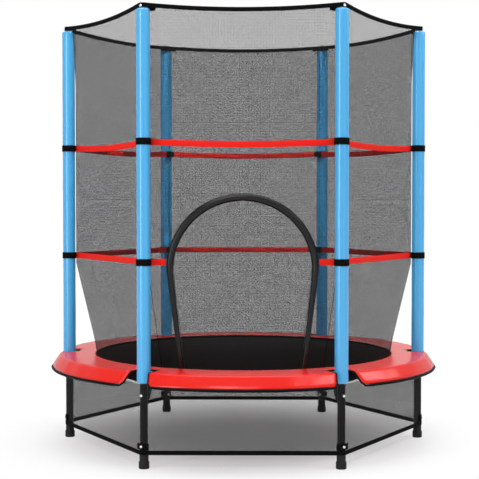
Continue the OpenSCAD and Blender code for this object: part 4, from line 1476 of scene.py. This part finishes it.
@dataclass
class Enclosure(SubAssembly):
    """The net round the jumping space, its seams, hem, bands and ties."""

    hem_z: float = 1.5915
    hem_h: float = 0.015
    hem_t: float = 0.0045
    hem_sag: float = 0.015
    hem_pull: float = 0.0105
    strap_t: float = 0.0025
    pole_r: float = 0.0123
    upper_band_z: float = 1.127
    upper_sag: float = 0.009
    lower_band_z: float = 0.712
    band_h: float = 0.022
    band_t: float = 0.0015
    tab: Size = (0.028, 0.0185, 0.0015)
    tab_gap: float = 0.0005
    lean_z: float = 1.14
    lean_edge: Flat = (0.86, 0.14)
    clear: float = 0.0002
    band_inset: float = 0.003
    arch_clear: float = 0.0125
    foot_t: float = 0.003
    foot_rise: float = 0.0018
    foot_corner: float = 0.0008
    seam: Flat = (0.0009, 0.0005)
    stitch_off: float = 0.0055
    tie_fold: float = 0.02
    tie_h: float = 0.024
    tie_t: float = 0.0018
    fold_inset: float = 0.0028
    billow: float = 0.002

    def build(self) -> None:
        """Builds and dresses the whole enclosure but the door."""
        self.net()
        self.seams()
        self.hem()
        self.foot()
        self.bands()
        self.ties()

    def hem_height(self, s: float) -> float:
        """Gives the height of the hem's middle on a wall.

        Args:
            s: Place along the wall, from -1 to 1.

        Returns:
            The height.
        """
        return self.hem_z - self.hem_sag * (1 - min(1.0, s * s))

    def hem_reach(self, along: float) -> float:
        """Gives the hem's distance from the middle, on a line drawn in a little between two poles.

        Args:
            along: Distance from the wall's middle.

        Returns:
            The distance.
        """
        flat = self.lay.pole_circle * math.cos(HALF) + self.strap_r
        return flat - self.hem_pull * (1 - (along / self.lay.pole_half) ** 2)

    @property
    def strap_r(self) -> float:
        """Radius of the hem's middle line round a pole cap."""
        return self.pole_r + self.clear + self.strap_t / 2

    def lean(self, s: float, z: float) -> float:
        """Gives how far the net leans out towards the hem.

        Args:
            s: Place across the wall, from -1 to 1.
            z: Height.

        Returns:
            The distance outside the wall's plane.
        """
        rise = max(0.0, z - self.lean_z) / (self.hem_height(s) - self.lean_z)
        start, width = self.lean_edge
        near = min(1.0, max(0.0, (abs(s) - start) / width))
        free = 1 - near * near * (3 - 2 * near)
        return (self.hem_reach(s * self.lay.wall_half) - self.lay.wall) * rise * free

    def soft(self, s: float, t: float, wall: int) -> float:
        """Gives how far the net stands out of its plane.

        Args:
            s: Place across the wall, from -1 to 1.
            t: Place up the wall, from 0 to 1.
            wall: Number of the wall.

        Returns:
            The distance.
        """
        rng = random.Random(SEED * 7 + wall)
        p, q = rng.uniform(0, 6.28), rng.uniform(0, 6.28)
        hold = (1 - s * s) * math.sin(math.pi * min(max(t, 0.0), 1.0))
        return self.billow * hold * (0.6 * math.sin(5 * s + p) + 0.6 * math.sin(9 * t + q) - 0.5)

    def taper_point(self, s: float, t: float) -> tuple[Point, float]:
        """Gives a point of the net between its foot and its bend, on wall 0.

        Args:
            s: Place across, from -1 to 1.
            t: Place up, from 0 at the foot to 1 at the bend.

        Returns:
            The point, and its distance from the panel's middle line.
        """
        low = polar(self.lay.net_foot_r, HALF_ANGLE * s, self.lay.net_foot_z)
        high = (self.lay.wall, s * self.lay.wall_half, self.lay.bend_z)
        run = s * lerp(self.lay.net_foot_r * HALF, self.lay.wall_half, t)
        return between(low, high, t), run

    def plain_wall(self, wall: int) -> Item:
        """Builds the net of a wall without a door.

        Args:
            wall: Number of the wall.

        Returns:
            Its piece, to be joined.
        """
        points, uvs = [], []
        columns, low_rows, high_rows = 24, 10, 30
        for j in range(low_rows + high_rows + 1):
            for s in across(columns):
                if j <= low_rows:
                    t = j / low_rows
                    p, u = self.taper_point(s, t)
                    v = lerp(self.lay.net_foot_z, self.lay.bend_z, t)
                    out = self.soft(s, t, wall)
                else:
                    t = (j - low_rows) / high_rows
                    z = lerp(self.lay.bend_z, self.hem_height(s), t)
                    p, u, v = (self.lay.wall, s * self.lay.wall_half, z), s * self.lay.wall_half, z
                    out = self.soft(s, t, wall + 10) + self.lean(s, z)
                points.append(turned((p[0] + out, p[1], p[2]), wall_angle(wall)))
                uvs.append((u, v))
        faces = grid_faces(low_rows + high_rows + 1, columns + 1)
        return mesh_object(f"wall_{wall}", points, faces, uvs)

    def door_wall(self) -> list[Item]:
        """Builds the net round the doorway.

        Returns:
            Its pieces, to be joined.
        """
        turn = wall_angle(DOOR_WALL)
        columns, rings = 72, 26
        half, top = self.lay.wall_half, self.hem_height(1)
        points, uvs = [], []
        rim: list[Flat] = []
        for k in range(columns + 1):
            share = 4 * k / columns
            if share <= 1:
                rim.append((half, lerp(self.lay.bend_z, top, share)))
            elif share <= 3:
                x = lerp(half, -half, (share - 1) / 2)
                rim.append((x, self.hem_height(x / half)))
            else:
                rim.append((-half, lerp(top, self.lay.bend_z, share - 3)))
        for j in range(rings + 1):
            for k in range(columns + 1):
                a = math.pi * k / columns
                x0, z0 = self.lay.arch_r * math.cos(a), self.lay.bend_z + self.lay.arch_r * math.sin(a)
                t = (j / rings) ** 1.3
                x, z = lerp(x0, rim[k][0], t), lerp(z0, rim[k][1], t)
                up = (z - self.lay.bend_z) / (top - self.lay.bend_z)
                out = self.soft(x / half, up, 15) * (4 * t * (1 - t)) + self.lean(x / half, z)
                points.append(turned((self.lay.wall + out, x, z), turn))
                uvs.append((x, z))
        pieces = [mesh_object("wall_door", points, grid_faces(rings + 1, columns + 1), uvs)]
        foot_s = math.degrees(math.asin(self.lay.arch_foot[0] / self.lay.net_foot_r)) / HALF_ANGLE
        rows, columns = 12, 6
        for sign in (-1, 1):
            points, uvs = [], []
            for j in range(rows + 1):
                t = j / rows
                inner = lerp(foot_s, self.lay.arch_r / half, t)
                for k in range(columns + 1):
                    s = sign * lerp(inner, 1.0, k / columns)
                    p, u = self.taper_point(s, t)
                    points.append(turned(p, turn))
                    uvs.append((u, lerp(self.lay.net_foot_z, self.lay.bend_z, t)))
            pieces.append(mesh_object(f"wall_door_{sign}", points, grid_faces(rows + 1, columns + 1), uvs))
        return pieces

    def net(self) -> None:
        """Builds the net as one continuous sheet."""
        walls = [self.plain_wall(w) for w in range(SIDES) if w != DOOR_WALL]
        item = joined("enclosure_net", walls + self.door_wall())
        self.shop.fit(item, "net", "upper_net", "lower_net", "door_net")

    def seams(self) -> None:
        """Builds the dark tape down each corner of the net."""
        corner, bend = self.lay.corner_r, self.lay.bend_z
        line = [(corner, lerp(self.hem_z, bend, k / 20)) for k in range(21)]
        line += [(lerp(corner, self.lay.net_foot_r, k / 10), lerp(bend, self.lay.net_foot_z, k / 10))
                 for k in range(1, 11)]
        points: list[Point] = []
        faces: list[tuple[int, ...]] = []
        width, thick = self.seam
        for i in range(SIDES):
            start = len(points)
            for r, z in line:
                for out, along in ((thick, 0.0), (0.0, width), (-thick, width), (-thick, 0.0),
                                   (-thick, -width), (0.0, -width)):
                    back = abs(along) * math.tan(HALF)
                    points.append(turned((r + out - back, along, z), SIDE_ANGLE * i))
            faces += grid_faces(len(line), 6, False, True, start)
            faces.append(tuple(start + k for k in range(6)))
            faces.append(tuple(start + (len(line) - 1) * 6 + k for k in reversed(range(6))))
        self.shop.fit(outwards(mesh_object("net_corner_seams", points, faces)), "black_webbing")

    def hem(self) -> None:
        """Builds the sagging hem that loops round the outside of every pole, its tabs and stitching."""
        half = self.lay.pole_half
        one = [((self.hem_reach(s * half), s * half, self.hem_height(s)),
                self.hem_t if abs(s) < 0.97 else self.strap_t) for s in across(32)]
        touch = HALF_ANGLE - math.degrees(math.atan(2 * self.hem_pull / half))
        for k in range(1, 12):
            a = math.radians(lerp(-touch, touch, k / 12))
            p = (self.lay.pole_circle + self.strap_r * math.cos(a), self.strap_r * math.sin(a), self.hem_z)
            one.append((turned(p, HALF_ANGLE), self.strap_t))
        loop = [(turned(p, wall_angle(w)), t) for w in range(SIDES) for p, t in one]
        smooth = self.relaxed(loop)
        band = Strip(self.hem_h, self.hem_t, 0.0012, closed=True)
        item = band.build("top_hem_band", [[p for p, _ in smooth]], lambda k: smooth[k][1])
        tabs = []
        w, h, t = self.tab
        for wall in range(SIDES):
            for sign in (-1, 1):
                line = []
                for k in range(9):
                    along = self.lay.wall_half - self.tab_gap - w * (1 - k / 8)
                    z = self.hem_z - h / 2
                    reach = self.lay.wall + self.lean(along / self.lay.wall_half, z) + self.lay.net_t
                    line.append(turned((reach, sign * along, z), wall_angle(wall)))
                tabs.append(line)
        item = joined("top_hem_band", [item, Strip(h, t).build("hem_tabs", tabs)])
        self.shop.fit(item, "black_webbing", "top_hem")
        rows = []
        for wall in range(SIDES):
            for dz in (-self.stitch_off, self.stitch_off):
                rows.append([turned((self.hem_reach(s * half) + self.hem_t / 2, s * half,
                                     self.hem_height(s) + dz), wall_angle(wall))
                             for s in [0.94 * share for share in across(24)]])
        thread = self.shop.sew("hem_stitching", rows, "black_webbing", Spacing=0.007, Length=0.0048,
                               Thickness=0.0007)
        self.shop.fit(thread, "black_webbing")

    def relaxed(self, loop: list[tuple[Point, float]]) -> list[tuple[Point, float]]:
        """Softens the corners of a closed line.

        Args:
            loop: Points with their thicknesses.

        Returns:
            The softened line.
        """
        dense: list[tuple[Point, float]] = []
        for (p, t), (q, u) in zip(loop, loop[1:] + loop[:1]):
            steps = max(1, int(math.dist(p, q) / 0.006))
            for k in range(steps):
                f = k / steps
                dense.append((between(p, q, f), lerp(t, u, f)))
        n = len(dense)
        soft = []
        for k in range(n):
            near = [dense[(k + d) % n] for d in (-1, 0, 0, 1)]
            mean = tuple(sum(p[c] for p, _ in near) / 4 for c in range(3))
            soft.append((mean, sum(t for _, t in near) / 4))
        return soft

    def foot(self) -> None:
        """Builds the band that holds the net's foot."""
        low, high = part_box("foot_band")
        r1, r0, c = high.x, high.x - self.foot_t, self.foot_corner
        top = high.z + self.foot_rise
        outline = [(r0 + c, low.z), (r1 - c, low.z), (r1, low.z + c), (r1, top - c), (r1 - c, top),
                   (r0 + c, top), (r0, top - c), (r0, low.z + c)]
        self.shop.fit(lathe("foot_band_ring", outline), "black_webbing", "foot_band")

    def bands(self) -> None:
        """Builds the red bands round the enclosure."""
        out = self.lay.net_t / 2 + self.band_t / 2 + self.clear / 2
        half = self.lay.wall_half - self.band_inset
        rise = self.lower_band_z - self.band_h / 2 - self.lay.bend_z
        gap = math.sqrt((self.lay.arch_r + self.arch_clear) ** 2 - rise ** 2)
        paths = []
        for wall in range(SIDES):
            turn = wall_angle(wall)
            runs = [[(s * half, self.upper_band_z - self.upper_sag * (1 - s * s)) for s in across(32)]]
            if wall == DOOR_WALL:
                runs += [[(sign * lerp(gap, half, k / 4), self.lower_band_z) for k in range(5)]
                         for sign in (-1, 1)]
            else:
                runs.append([(s * half, self.lower_band_z) for s in across(24)])
            for run in runs:
                paths.append([turned((self.lay.wall + out, x, z), turn) for x, z in run])
        item = Strip(self.band_h, self.band_t).build("red_net_bands", paths)
        self.shop.fit(item, "red_webbing", "net_bands")

    def ties(self) -> None:
        """Builds the ties that hold the net to the poles."""
        r = self.lay.foam_r + self.clear + self.tie_t / 2
        corner = self.lay.corner_r - self.lay.pole_circle + self.tie_t
        fold = (self.lay.wall - self.fold_inset) / math.cos(HALF)
        around = [(corner, 0.0)] + [polar(r, a)[:2] for a in range(-162, 163, 9)]
        flat = [(fold - abs(d) / 2, d * math.cos(HALF))
                for d in (self.tie_fold * share for share in across(12))]
        loops, folds = [], []
        for i in range(SIDES):
            for z in (self.upper_band_z, self.lower_band_z):
                loops.append([turned((self.lay.pole_circle + x, y, z), SIDE_ANGLE * i) for x, y in around])
                folds.append([turned((x, y, z), SIDE_ANGLE * i) for x, y in flat])
        item = joined("pole_tie_bands", [
            Strip(self.tie_h, self.tie_t, 0.0007, closed=True).build("pole_tie_bands", loops),
            Strip(self.tie_h, self.tie_t, 0.0005).build("tie_folds", folds)])
        self.shop.fit(item, "black_webbing", "pole_ties")


@dataclass
class Doorway(SubAssembly):
    """The padded arch, the zipped net door and the zip."""

    panel_r: float = 0.2407
    foot_half: float = 0.2008
    foot_z: float = 0.3396
    tube: Size = (0.0092, 0.0112, 0.0135)
    ease_h: float = 0.06
    belly: float = 0.0015
    top_angle: float = 89.2
    cord_r: float = 0.0011
    zip_off: float = 0.0133
    zip_size: Flat = (0.006, 0.001)

    def arch_line(self, off: float = 0.0, low: float = 0.0,
                  rounded: bool = True) -> list[tuple[Point, float]]:
        """Gives the arch's middle line from the left foot over the top to the right foot.

        Args:
            off: Distance towards the mat.
            low: Share of each leg that is left out at its foot.
            rounded: Whether the line is rounded where the walls bend.

        Returns:
            Points, each with its share of the way up: 0 at the feet, 1 at the bend, 2 at the top.
        """
        r = self.lay.arch_r
        foot_x, foot_y, foot_z = self.lay.arch_foot
        y = -self.lay.wall + off
        out: list[tuple[Point, float]] = []
        leg_steps, arc_steps = 24, 72
        for k in range(leg_steps):
            t = lerp(low, 1.0, k / leg_steps)
            z = lerp(foot_z, self.lay.bend_z, t)
            out.append(((-lerp(foot_x, r, t) + rounded * self.ease(z), lerp(foot_y + off, y, t), z), t))
        for k in range(arc_steps + 1):
            a = math.pi * (1 - k / arc_steps)
            z = self.lay.bend_z + r * math.sin(a)
            x = r * math.cos(a)
            x -= math.copysign(rounded * self.ease(z), x) if abs(x) > r / 2 else 0.0
            out.append(((x, y, z), 1 + math.sin(a)))
        out += [((-p[0], p[1], p[2]), t) for p, t in reversed(out[:leg_steps])]
        return out

    def ease(self, z: float) -> float:
        """Gives how far the doorway's sides curve in where the walls bend.

        Args:
            z: Height.

        Returns:
            The distance towards the doorway's middle.
        """
        foot_x, _, foot_z = self.lay.arch_foot
        slope = (self.lay.arch_r - foot_x) / (self.lay.bend_z - foot_z)
        return slope * max(0.0, self.ease_h - abs(z - self.lay.bend_z)) ** 2 / (4 * self.ease_h)

    def build(self) -> None:
        """Builds and dresses the arch, the door and the zip."""
        self.arch()
        self.panel()
        self.zip()

    def arch(self) -> None:
        """Builds the padded tube, fuller over the top than at the feet."""
        line = self.arch_line()
        foot, bend, top = self.tube
        rng = random.Random(SEED)
        parts = [(rng.uniform(20, 90), rng.uniform(0, 6.28)) for _ in range(6)]
        radii = []
        for k, (_, t) in enumerate(line):
            base = lerp(foot, bend, t) if t < 1 else lerp(bend, top, min(1.0, (t - 1) * 1.3))
            radii.append(base + 0.00025 * sum(math.sin(f * k / 40 + p) for f, p in parts) / 3)
        item = self.shop.tube("door_arch_sleeve", [p for p, _ in line], radii, "arch_padding", 24)
        self.shop.fit(item, "arch_padding", "door_arch")

    def panel(self) -> None:
        """Builds the door's net and the cord round its edge."""
        turn = wall_angle(DOOR_WALL)
        foot_a = math.asin(self.foot_half / self.lay.net_foot_r)
        columns, low_rows, high_rows = 28, 12, 16
        rows = low_rows + high_rows + 1
        points, uvs = [], []
        for j in range(rows):
            for s in across(columns):
                if j <= low_rows:
                    t = j / low_rows
                    a = foot_a * s
                    low = (self.lay.net_foot_r * math.cos(a), self.lay.net_foot_r * math.sin(a), self.foot_z)
                    high = (self.lay.wall, self.panel_r * s, self.lay.bend_z)
                    p = between(low, high, t)
                    hold = math.sin(math.pi * t / 2)
                else:
                    a = math.radians(self.top_angle * (j - low_rows) / high_rows)
                    p = (self.lay.wall, self.panel_r * math.cos(a) * s,
                         self.lay.bend_z + self.panel_r * math.sin(a))
                    hold = math.cos(a)
                out = -self.belly * (1 - s * s) * hold * (1 + math.sin(4 * s + 2 * j / low_rows))
                points.append(turned((p[0] + out, p[1] - s * self.ease(p[2]), p[2]), turn))
                uvs.append((p[1], p[2]))
        item = mesh_object("door_net_panel", points, grid_faces(rows, columns + 1), uvs)
        self.shop.dress(item, "net", "door_panel")
        edge = points[::columns + 1] + points[columns::columns + 1][::-1]
        trim = self.shop.tube("door_edge_cord", edge, [self.cord_r] * len(edge), "zip_tape", 8)
        self.shop.dress(trim, "zip_tape")
        for piece in (item, trim):
            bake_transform(piece)

    def zip(self) -> None:
        """Builds the zip's tape and teeth along the inner side of the arch."""
        line = [p for p, _ in self.arch_line(self.zip_off, low=0.02, rounded=False)]
        points: list[Point] = []
        n = len(line)
        half, thick = (size / 2 for size in self.zip_size)
        for k, p in enumerate(line):
            q, r = line[max(k - 1, 0)], line[min(k + 1, n - 1)]
            along = (Vector(r) - Vector(q)).normalized()
            sideways = along.cross(Vector((0, 1, 0))).normalized()
            for u, v in ((half, thick), (-half, thick), (-half, -thick), (half, -thick)):
                points.append(tuple(Vector(p) + sideways * u + Vector((0, v, 0))))
        faces = grid_faces(n, 4, False, True)
        faces += [(3, 2, 1, 0), tuple((n - 1) * 4 + k for k in range(4))]
        tape = outwards(mesh_object("zip_tape_strip", points, faces, smooth=False))
        self.shop.fit(tape, "zip_tape", "zip_chain")
        teeth = self.shop.sew("zip_teeth", [line], "zip_tape", Spacing=0.0028, Length=0.0019,
                              Thickness=0.0019, Unevenness=0.02)
        self.shop.fit(teeth, "zip_tape", "zip_chain")


@dataclass
class LowerNet(SubAssembly):
    """The net round the legs, with its lower band and the straps that bolt it to the legs."""

    net_r: float = 0.01505
    low: float = 0.0523
    high: float = 0.293
    band: Size = (0.0495, 0.0655, 0.0015)
    elastic: Size = (0.3, 0.3225, 0.0013)
    strap: Size = (0.0673, 0.0893, 0.0015)
    strap_tab: float = 0.018
    wrap_r: float = 0.0161
    held_angle: float = 3.0
    easing_angle: float = 8.0
    ripple: float = 0.0016

    def loop(self, radius: float, flat_steps: int = 24) -> list[Point]:
        """Gives a closed loop round all the legs.

        Args:
            radius: Its distance from the legs' axes.
            flat_steps: Points along each side.

        Returns:
            Points at height 0.
        """
        out = []
        arc_steps = 8
        for i in range(SIDES):
            axis, after = (polar(self.lay.pole_circle, SIDE_ANGLE * n) for n in (i, i + 1))
            for k in range(arc_steps + 1):
                away = polar(radius, SIDE_ANGLE * i - HALF_ANGLE + SIDE_ANGLE * k / arc_steps)
                out.append((axis[0] + away[0], axis[1] + away[1], 0.0))
            away = polar(radius, SIDE_ANGLE * i + HALF_ANGLE)
            p, q = ((x + away[0], y + away[1], 0.0) for x, y, _ in (axis, after))
            out += [between(p, q, k / flat_steps) for k in range(1, flat_steps)]
        return out

    def build(self) -> None:
        """Builds and dresses the lower net."""
        loop = self.loop(self.net_r)
        rows = 9
        rng = random.Random(SEED + 3)
        waves = [(rng.randint(20, 70), rng.uniform(0, 6.28)) for _ in range(5)]
        points, uvs, run = [], [], [0.0]
        for p, q in zip(loop, loop[1:] + loop[:1]):
            run.append(run[-1] + math.dist(p, q))
        for j in range(rows):
            z = lerp(self.low, self.high, j / (rows - 1))
            for k in range(len(loop) + 1):
                p = loop[k % len(loop)]
                a = math.atan2(p[1], p[0])
                off = (math.degrees(a) + HALF_ANGLE) % SIDE_ANGLE - HALF_ANGLE
                free = min(1.0, max(0.0, (abs(off) - self.held_angle) / self.easing_angle))
                free *= math.sin(math.pi * (j / (rows - 1)))
                push = self.ripple * free * sum(math.sin(n * a + q) for n, q in waves) / len(waves) * 1.6
                points.append((p[0] + push * math.cos(a), p[1] + push * math.sin(a), z))
                uvs.append((run[k], z))
        item = mesh_object("lower_leg_net", points, grid_faces(rows, len(loop) + 1), uvs)
        merge(item.data, [item.data], 1e-6)
        self.shop.fit(item, "net", "skirt_net", look="plain_net")
        for name, (z0, z1, t), corner, nodes in (
                ("lower_net_band", self.band, 0.0006, ("skirt_band",)),
                ("lower_net_elastic", self.elastic, 0.0005, ())):
            path = [(x, y, (z0 + z1) / 2) for x, y, _ in self.loop(self.wrap_r + t / 2, 8)]
            band = Strip(z1 - z0, t, corner, closed=True).build(name, [path])
            self.shop.fit(band, "black_webbing", *nodes)
        self.straps()

    def straps(self) -> None:
        """Builds the straps round the legs."""
        z0, z1, t = self.strap
        r, c, z = self.wrap_r + t / 2, self.lay.pole_circle, (z0 + z1) / 2
        arc = [(c + r * math.cos(math.radians(a)), r * math.sin(math.radians(a)), z)
               for a in range(-30, 31, 6)]
        tab = [(arc[-1][0] - math.sin(HALF) * d, arc[-1][1] + math.cos(HALF) * d, z)
               for d in (self.strap_tab / 3, self.strap_tab * 2 / 3, self.strap_tab)]
        line = [(x, -y, z) for x, y, _ in reversed(tab)] + arc + tab
        item = self.shop.repeat(Strip(z1 - z0, t).build("leg_strap_bands", [line]), "black_webbing")
        self.shop.fit(item, "black_webbing", "leg_straps")


# ---------------------------------------------------------------- studio


@dataclass
class Studio:
    """The white floor, the lamps and the camera."""

    floor_size: float = 60.0
    floor_colour: float = 0.93
    floor_glow: float = 0.29
    shadow_reach: Flat = (0.25, 1.15)
    ambient: float = 0.216
    mirrored_sky: float = 0.55
    camera_place: Point = (0.0245, -4.89, 0.9195)
    camera_tilt: float = -1.714
    camera_turn: float = 0.467
    lens: float = 94.27

    def build(self) -> None:
        """Builds the stage."""
        self.floor()
        self.world()
        self.lamp("front_key_box", (-0.8, -5.3, 4.6), (0, 0, 0.8), (2.0, 2.0), 86)
        self.lamp("left_strip", (-3.4, -4.0, 1.5), (0, 0, 1.0), (0.5, 3.0), 72)
        self.lamp("right_strip", (3.2, -4.0, 1.5), (0, 0, 1.0), (0.5, 3.0), 11)
        self.lamp("overhead_box", (0, -0.3, 4.2), (0, 0.1, 0), (4.0, 3.0), 137)
        self.lamp("back_fill", (0.4, 4.6, 3.0), (0, 0, 0.7), (3.0, 2.0), 45)
        self.lamp("right_sheen", (2.46, -0.81, 2.45), (0.365, -0.62, 0.31), (3.2, 0.4), 11.5,
                  spread=110, roll=-30.5)
        self.lamp("back_accent", (0, -1.0, 3.5), (0, 0.62, 1.1), (0.5, 0.3), 11, spread=34)
        self.camera()
        LOG.info("studio ready")

    def floor(self) -> None:
        """Builds the floor, which catches the shadow and stays white outside it."""
        half = self.floor_size / 2
        item = mesh_object("studio_floor", [(-half, -half, 0), (half, -half, 0), (half, half, 0),
                                            (-half, half, 0)], [(0, 1, 2, 3)], smooth=False)
        material, sheet, shader = blank("Studio floor")
        path = sheet.add("ShaderNodeLightPath")
        seen = sheet.math("MAXIMUM", path.outputs["Is Camera Ray"], path.outputs["Is Glossy Ray"])
        place = sheet.add("ShaderNodeTexCoord")
        far = sheet.add("ShaderNodeVectorMath", {0: place.outputs["Object"]}, operation="LENGTH")
        open_floor = sheet.add("ShaderNodeMapRange", {
            "Value": far.outputs["Value"], "From Min": self.shadow_reach[0], "From Max": self.shadow_reach[1],
            "To Min": self.floor_glow, "To Max": 1.0}, interpolation_type="SMOOTHSTEP")
        glow = sheet.math("MULTIPLY", seen, open_floor.outputs["Result"])
        base = sheet.math("MULTIPLY", sheet.math("SUBTRACT", 1.0, glow), self.floor_colour)
        sheet.fill(shader, {"Base Color": base, "Roughness": 1.0, "Specular IOR Level": 0.0,
                            "Emission Color": glow, "Emission Strength": 1.0})
        item.data.materials.append(material)

    def world(self) -> None:
        """Makes the sky: white where it is seen, dimmer as light."""
        world = bpy.data.worlds.new("Studio sky")
        bpy.context.scene.world = world
        world.use_nodes = True
        sheet = NodeSheet(world.node_tree)
        back = next(n for n in world.node_tree.nodes if n.type == "BACKGROUND").inputs
        path = sheet.add("ShaderNodeLightPath")
        mirrored = sheet.math("MULTIPLY", path.outputs["Is Glossy Ray"], self.mirrored_sky)
        seen = sheet.math("MAXIMUM", path.outputs["Is Camera Ray"], mirrored)
        seen = sheet.math("MAXIMUM", seen, path.outputs["Is Transmission Ray"])
        strength = sheet.math("MULTIPLY_ADD", seen, 1.0 - self.ambient, self.ambient)
        sheet.fill(back, {"Color": (1, 1, 1, 1), "Strength": strength})

    def lamp(self, name: str, place: Point, aim: Point, size: Flat, power: float,
             spread: float = 180.0, roll: float = 0.0) -> None:
        """Hangs a soft lamp.

        Args:
            name: Name of the lamp.
            place: Where it hangs.
            aim: The point that it faces.
            size: Its width and height.
            power: Its power in watts.
            spread: Angle of its beam in degrees.
            roll: Its turn about its own beam in degrees.
        """
        data = bpy.data.lights.new(name, "AREA")
        data.shape, (data.size, data.size_y), data.energy = "RECTANGLE", size, power
        data.spread = math.radians(spread)
        item = bpy.data.objects.new(name, data)
        item.location = place
        turn = (Vector(aim) - Vector(place)).to_track_quat("-Z", "Y")
        item.rotation_euler = (turn @ Quaternion((0, 0, 1), math.radians(roll))).to_euler()
        bpy.context.scene.collection.objects.link(item)

    def camera(self) -> None:
        """Sets up the camera."""
        data = bpy.data.cameras.new("main_camera")
        data.lens, data.sensor_width = self.lens, 36.0
        data.clip_start, data.clip_end = 0.1, 200.0
        item = bpy.data.objects.new("main_camera", data)
        item.location = self.camera_place
        item.rotation_euler = (math.radians(90 + self.camera_tilt), 0, math.radians(self.camera_turn))
        bpy.context.scene.collection.objects.link(item)
        bpy.context.scene.camera = item
        bpy.context.scene.view_settings.view_transform = "Standard"


@dataclass
class Trampoline:
    """The whole trampoline, as its sub-assemblies."""

    groups: tuple[type[SubAssembly], ...] = (
        SteelAndFittings, FoamSleeves, SafetyPad, JumpingMat, Enclosure, Doorway, LowerNet)

    def build(self, shop: Workshop) -> None:
        """Builds every sub-assembly.

        Args:
            shop: The workshop.
        """
        for group in self.groups:
            group(shop).build()
            LOG.info("%s ready", group.__name__)


def main() -> None:
    """Builds the trampoline and its studio."""
    logging.basicConfig(level=logging.INFO, format="%(name)s: %(message)s")
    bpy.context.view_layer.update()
    shop = Workshop(Layout.from_frame(), Palette().build())
    LOG.info("%s", shop.layout)
    Trampoline().build(shop)
    Studio().build()


if __name__ == "__main__":
    main()
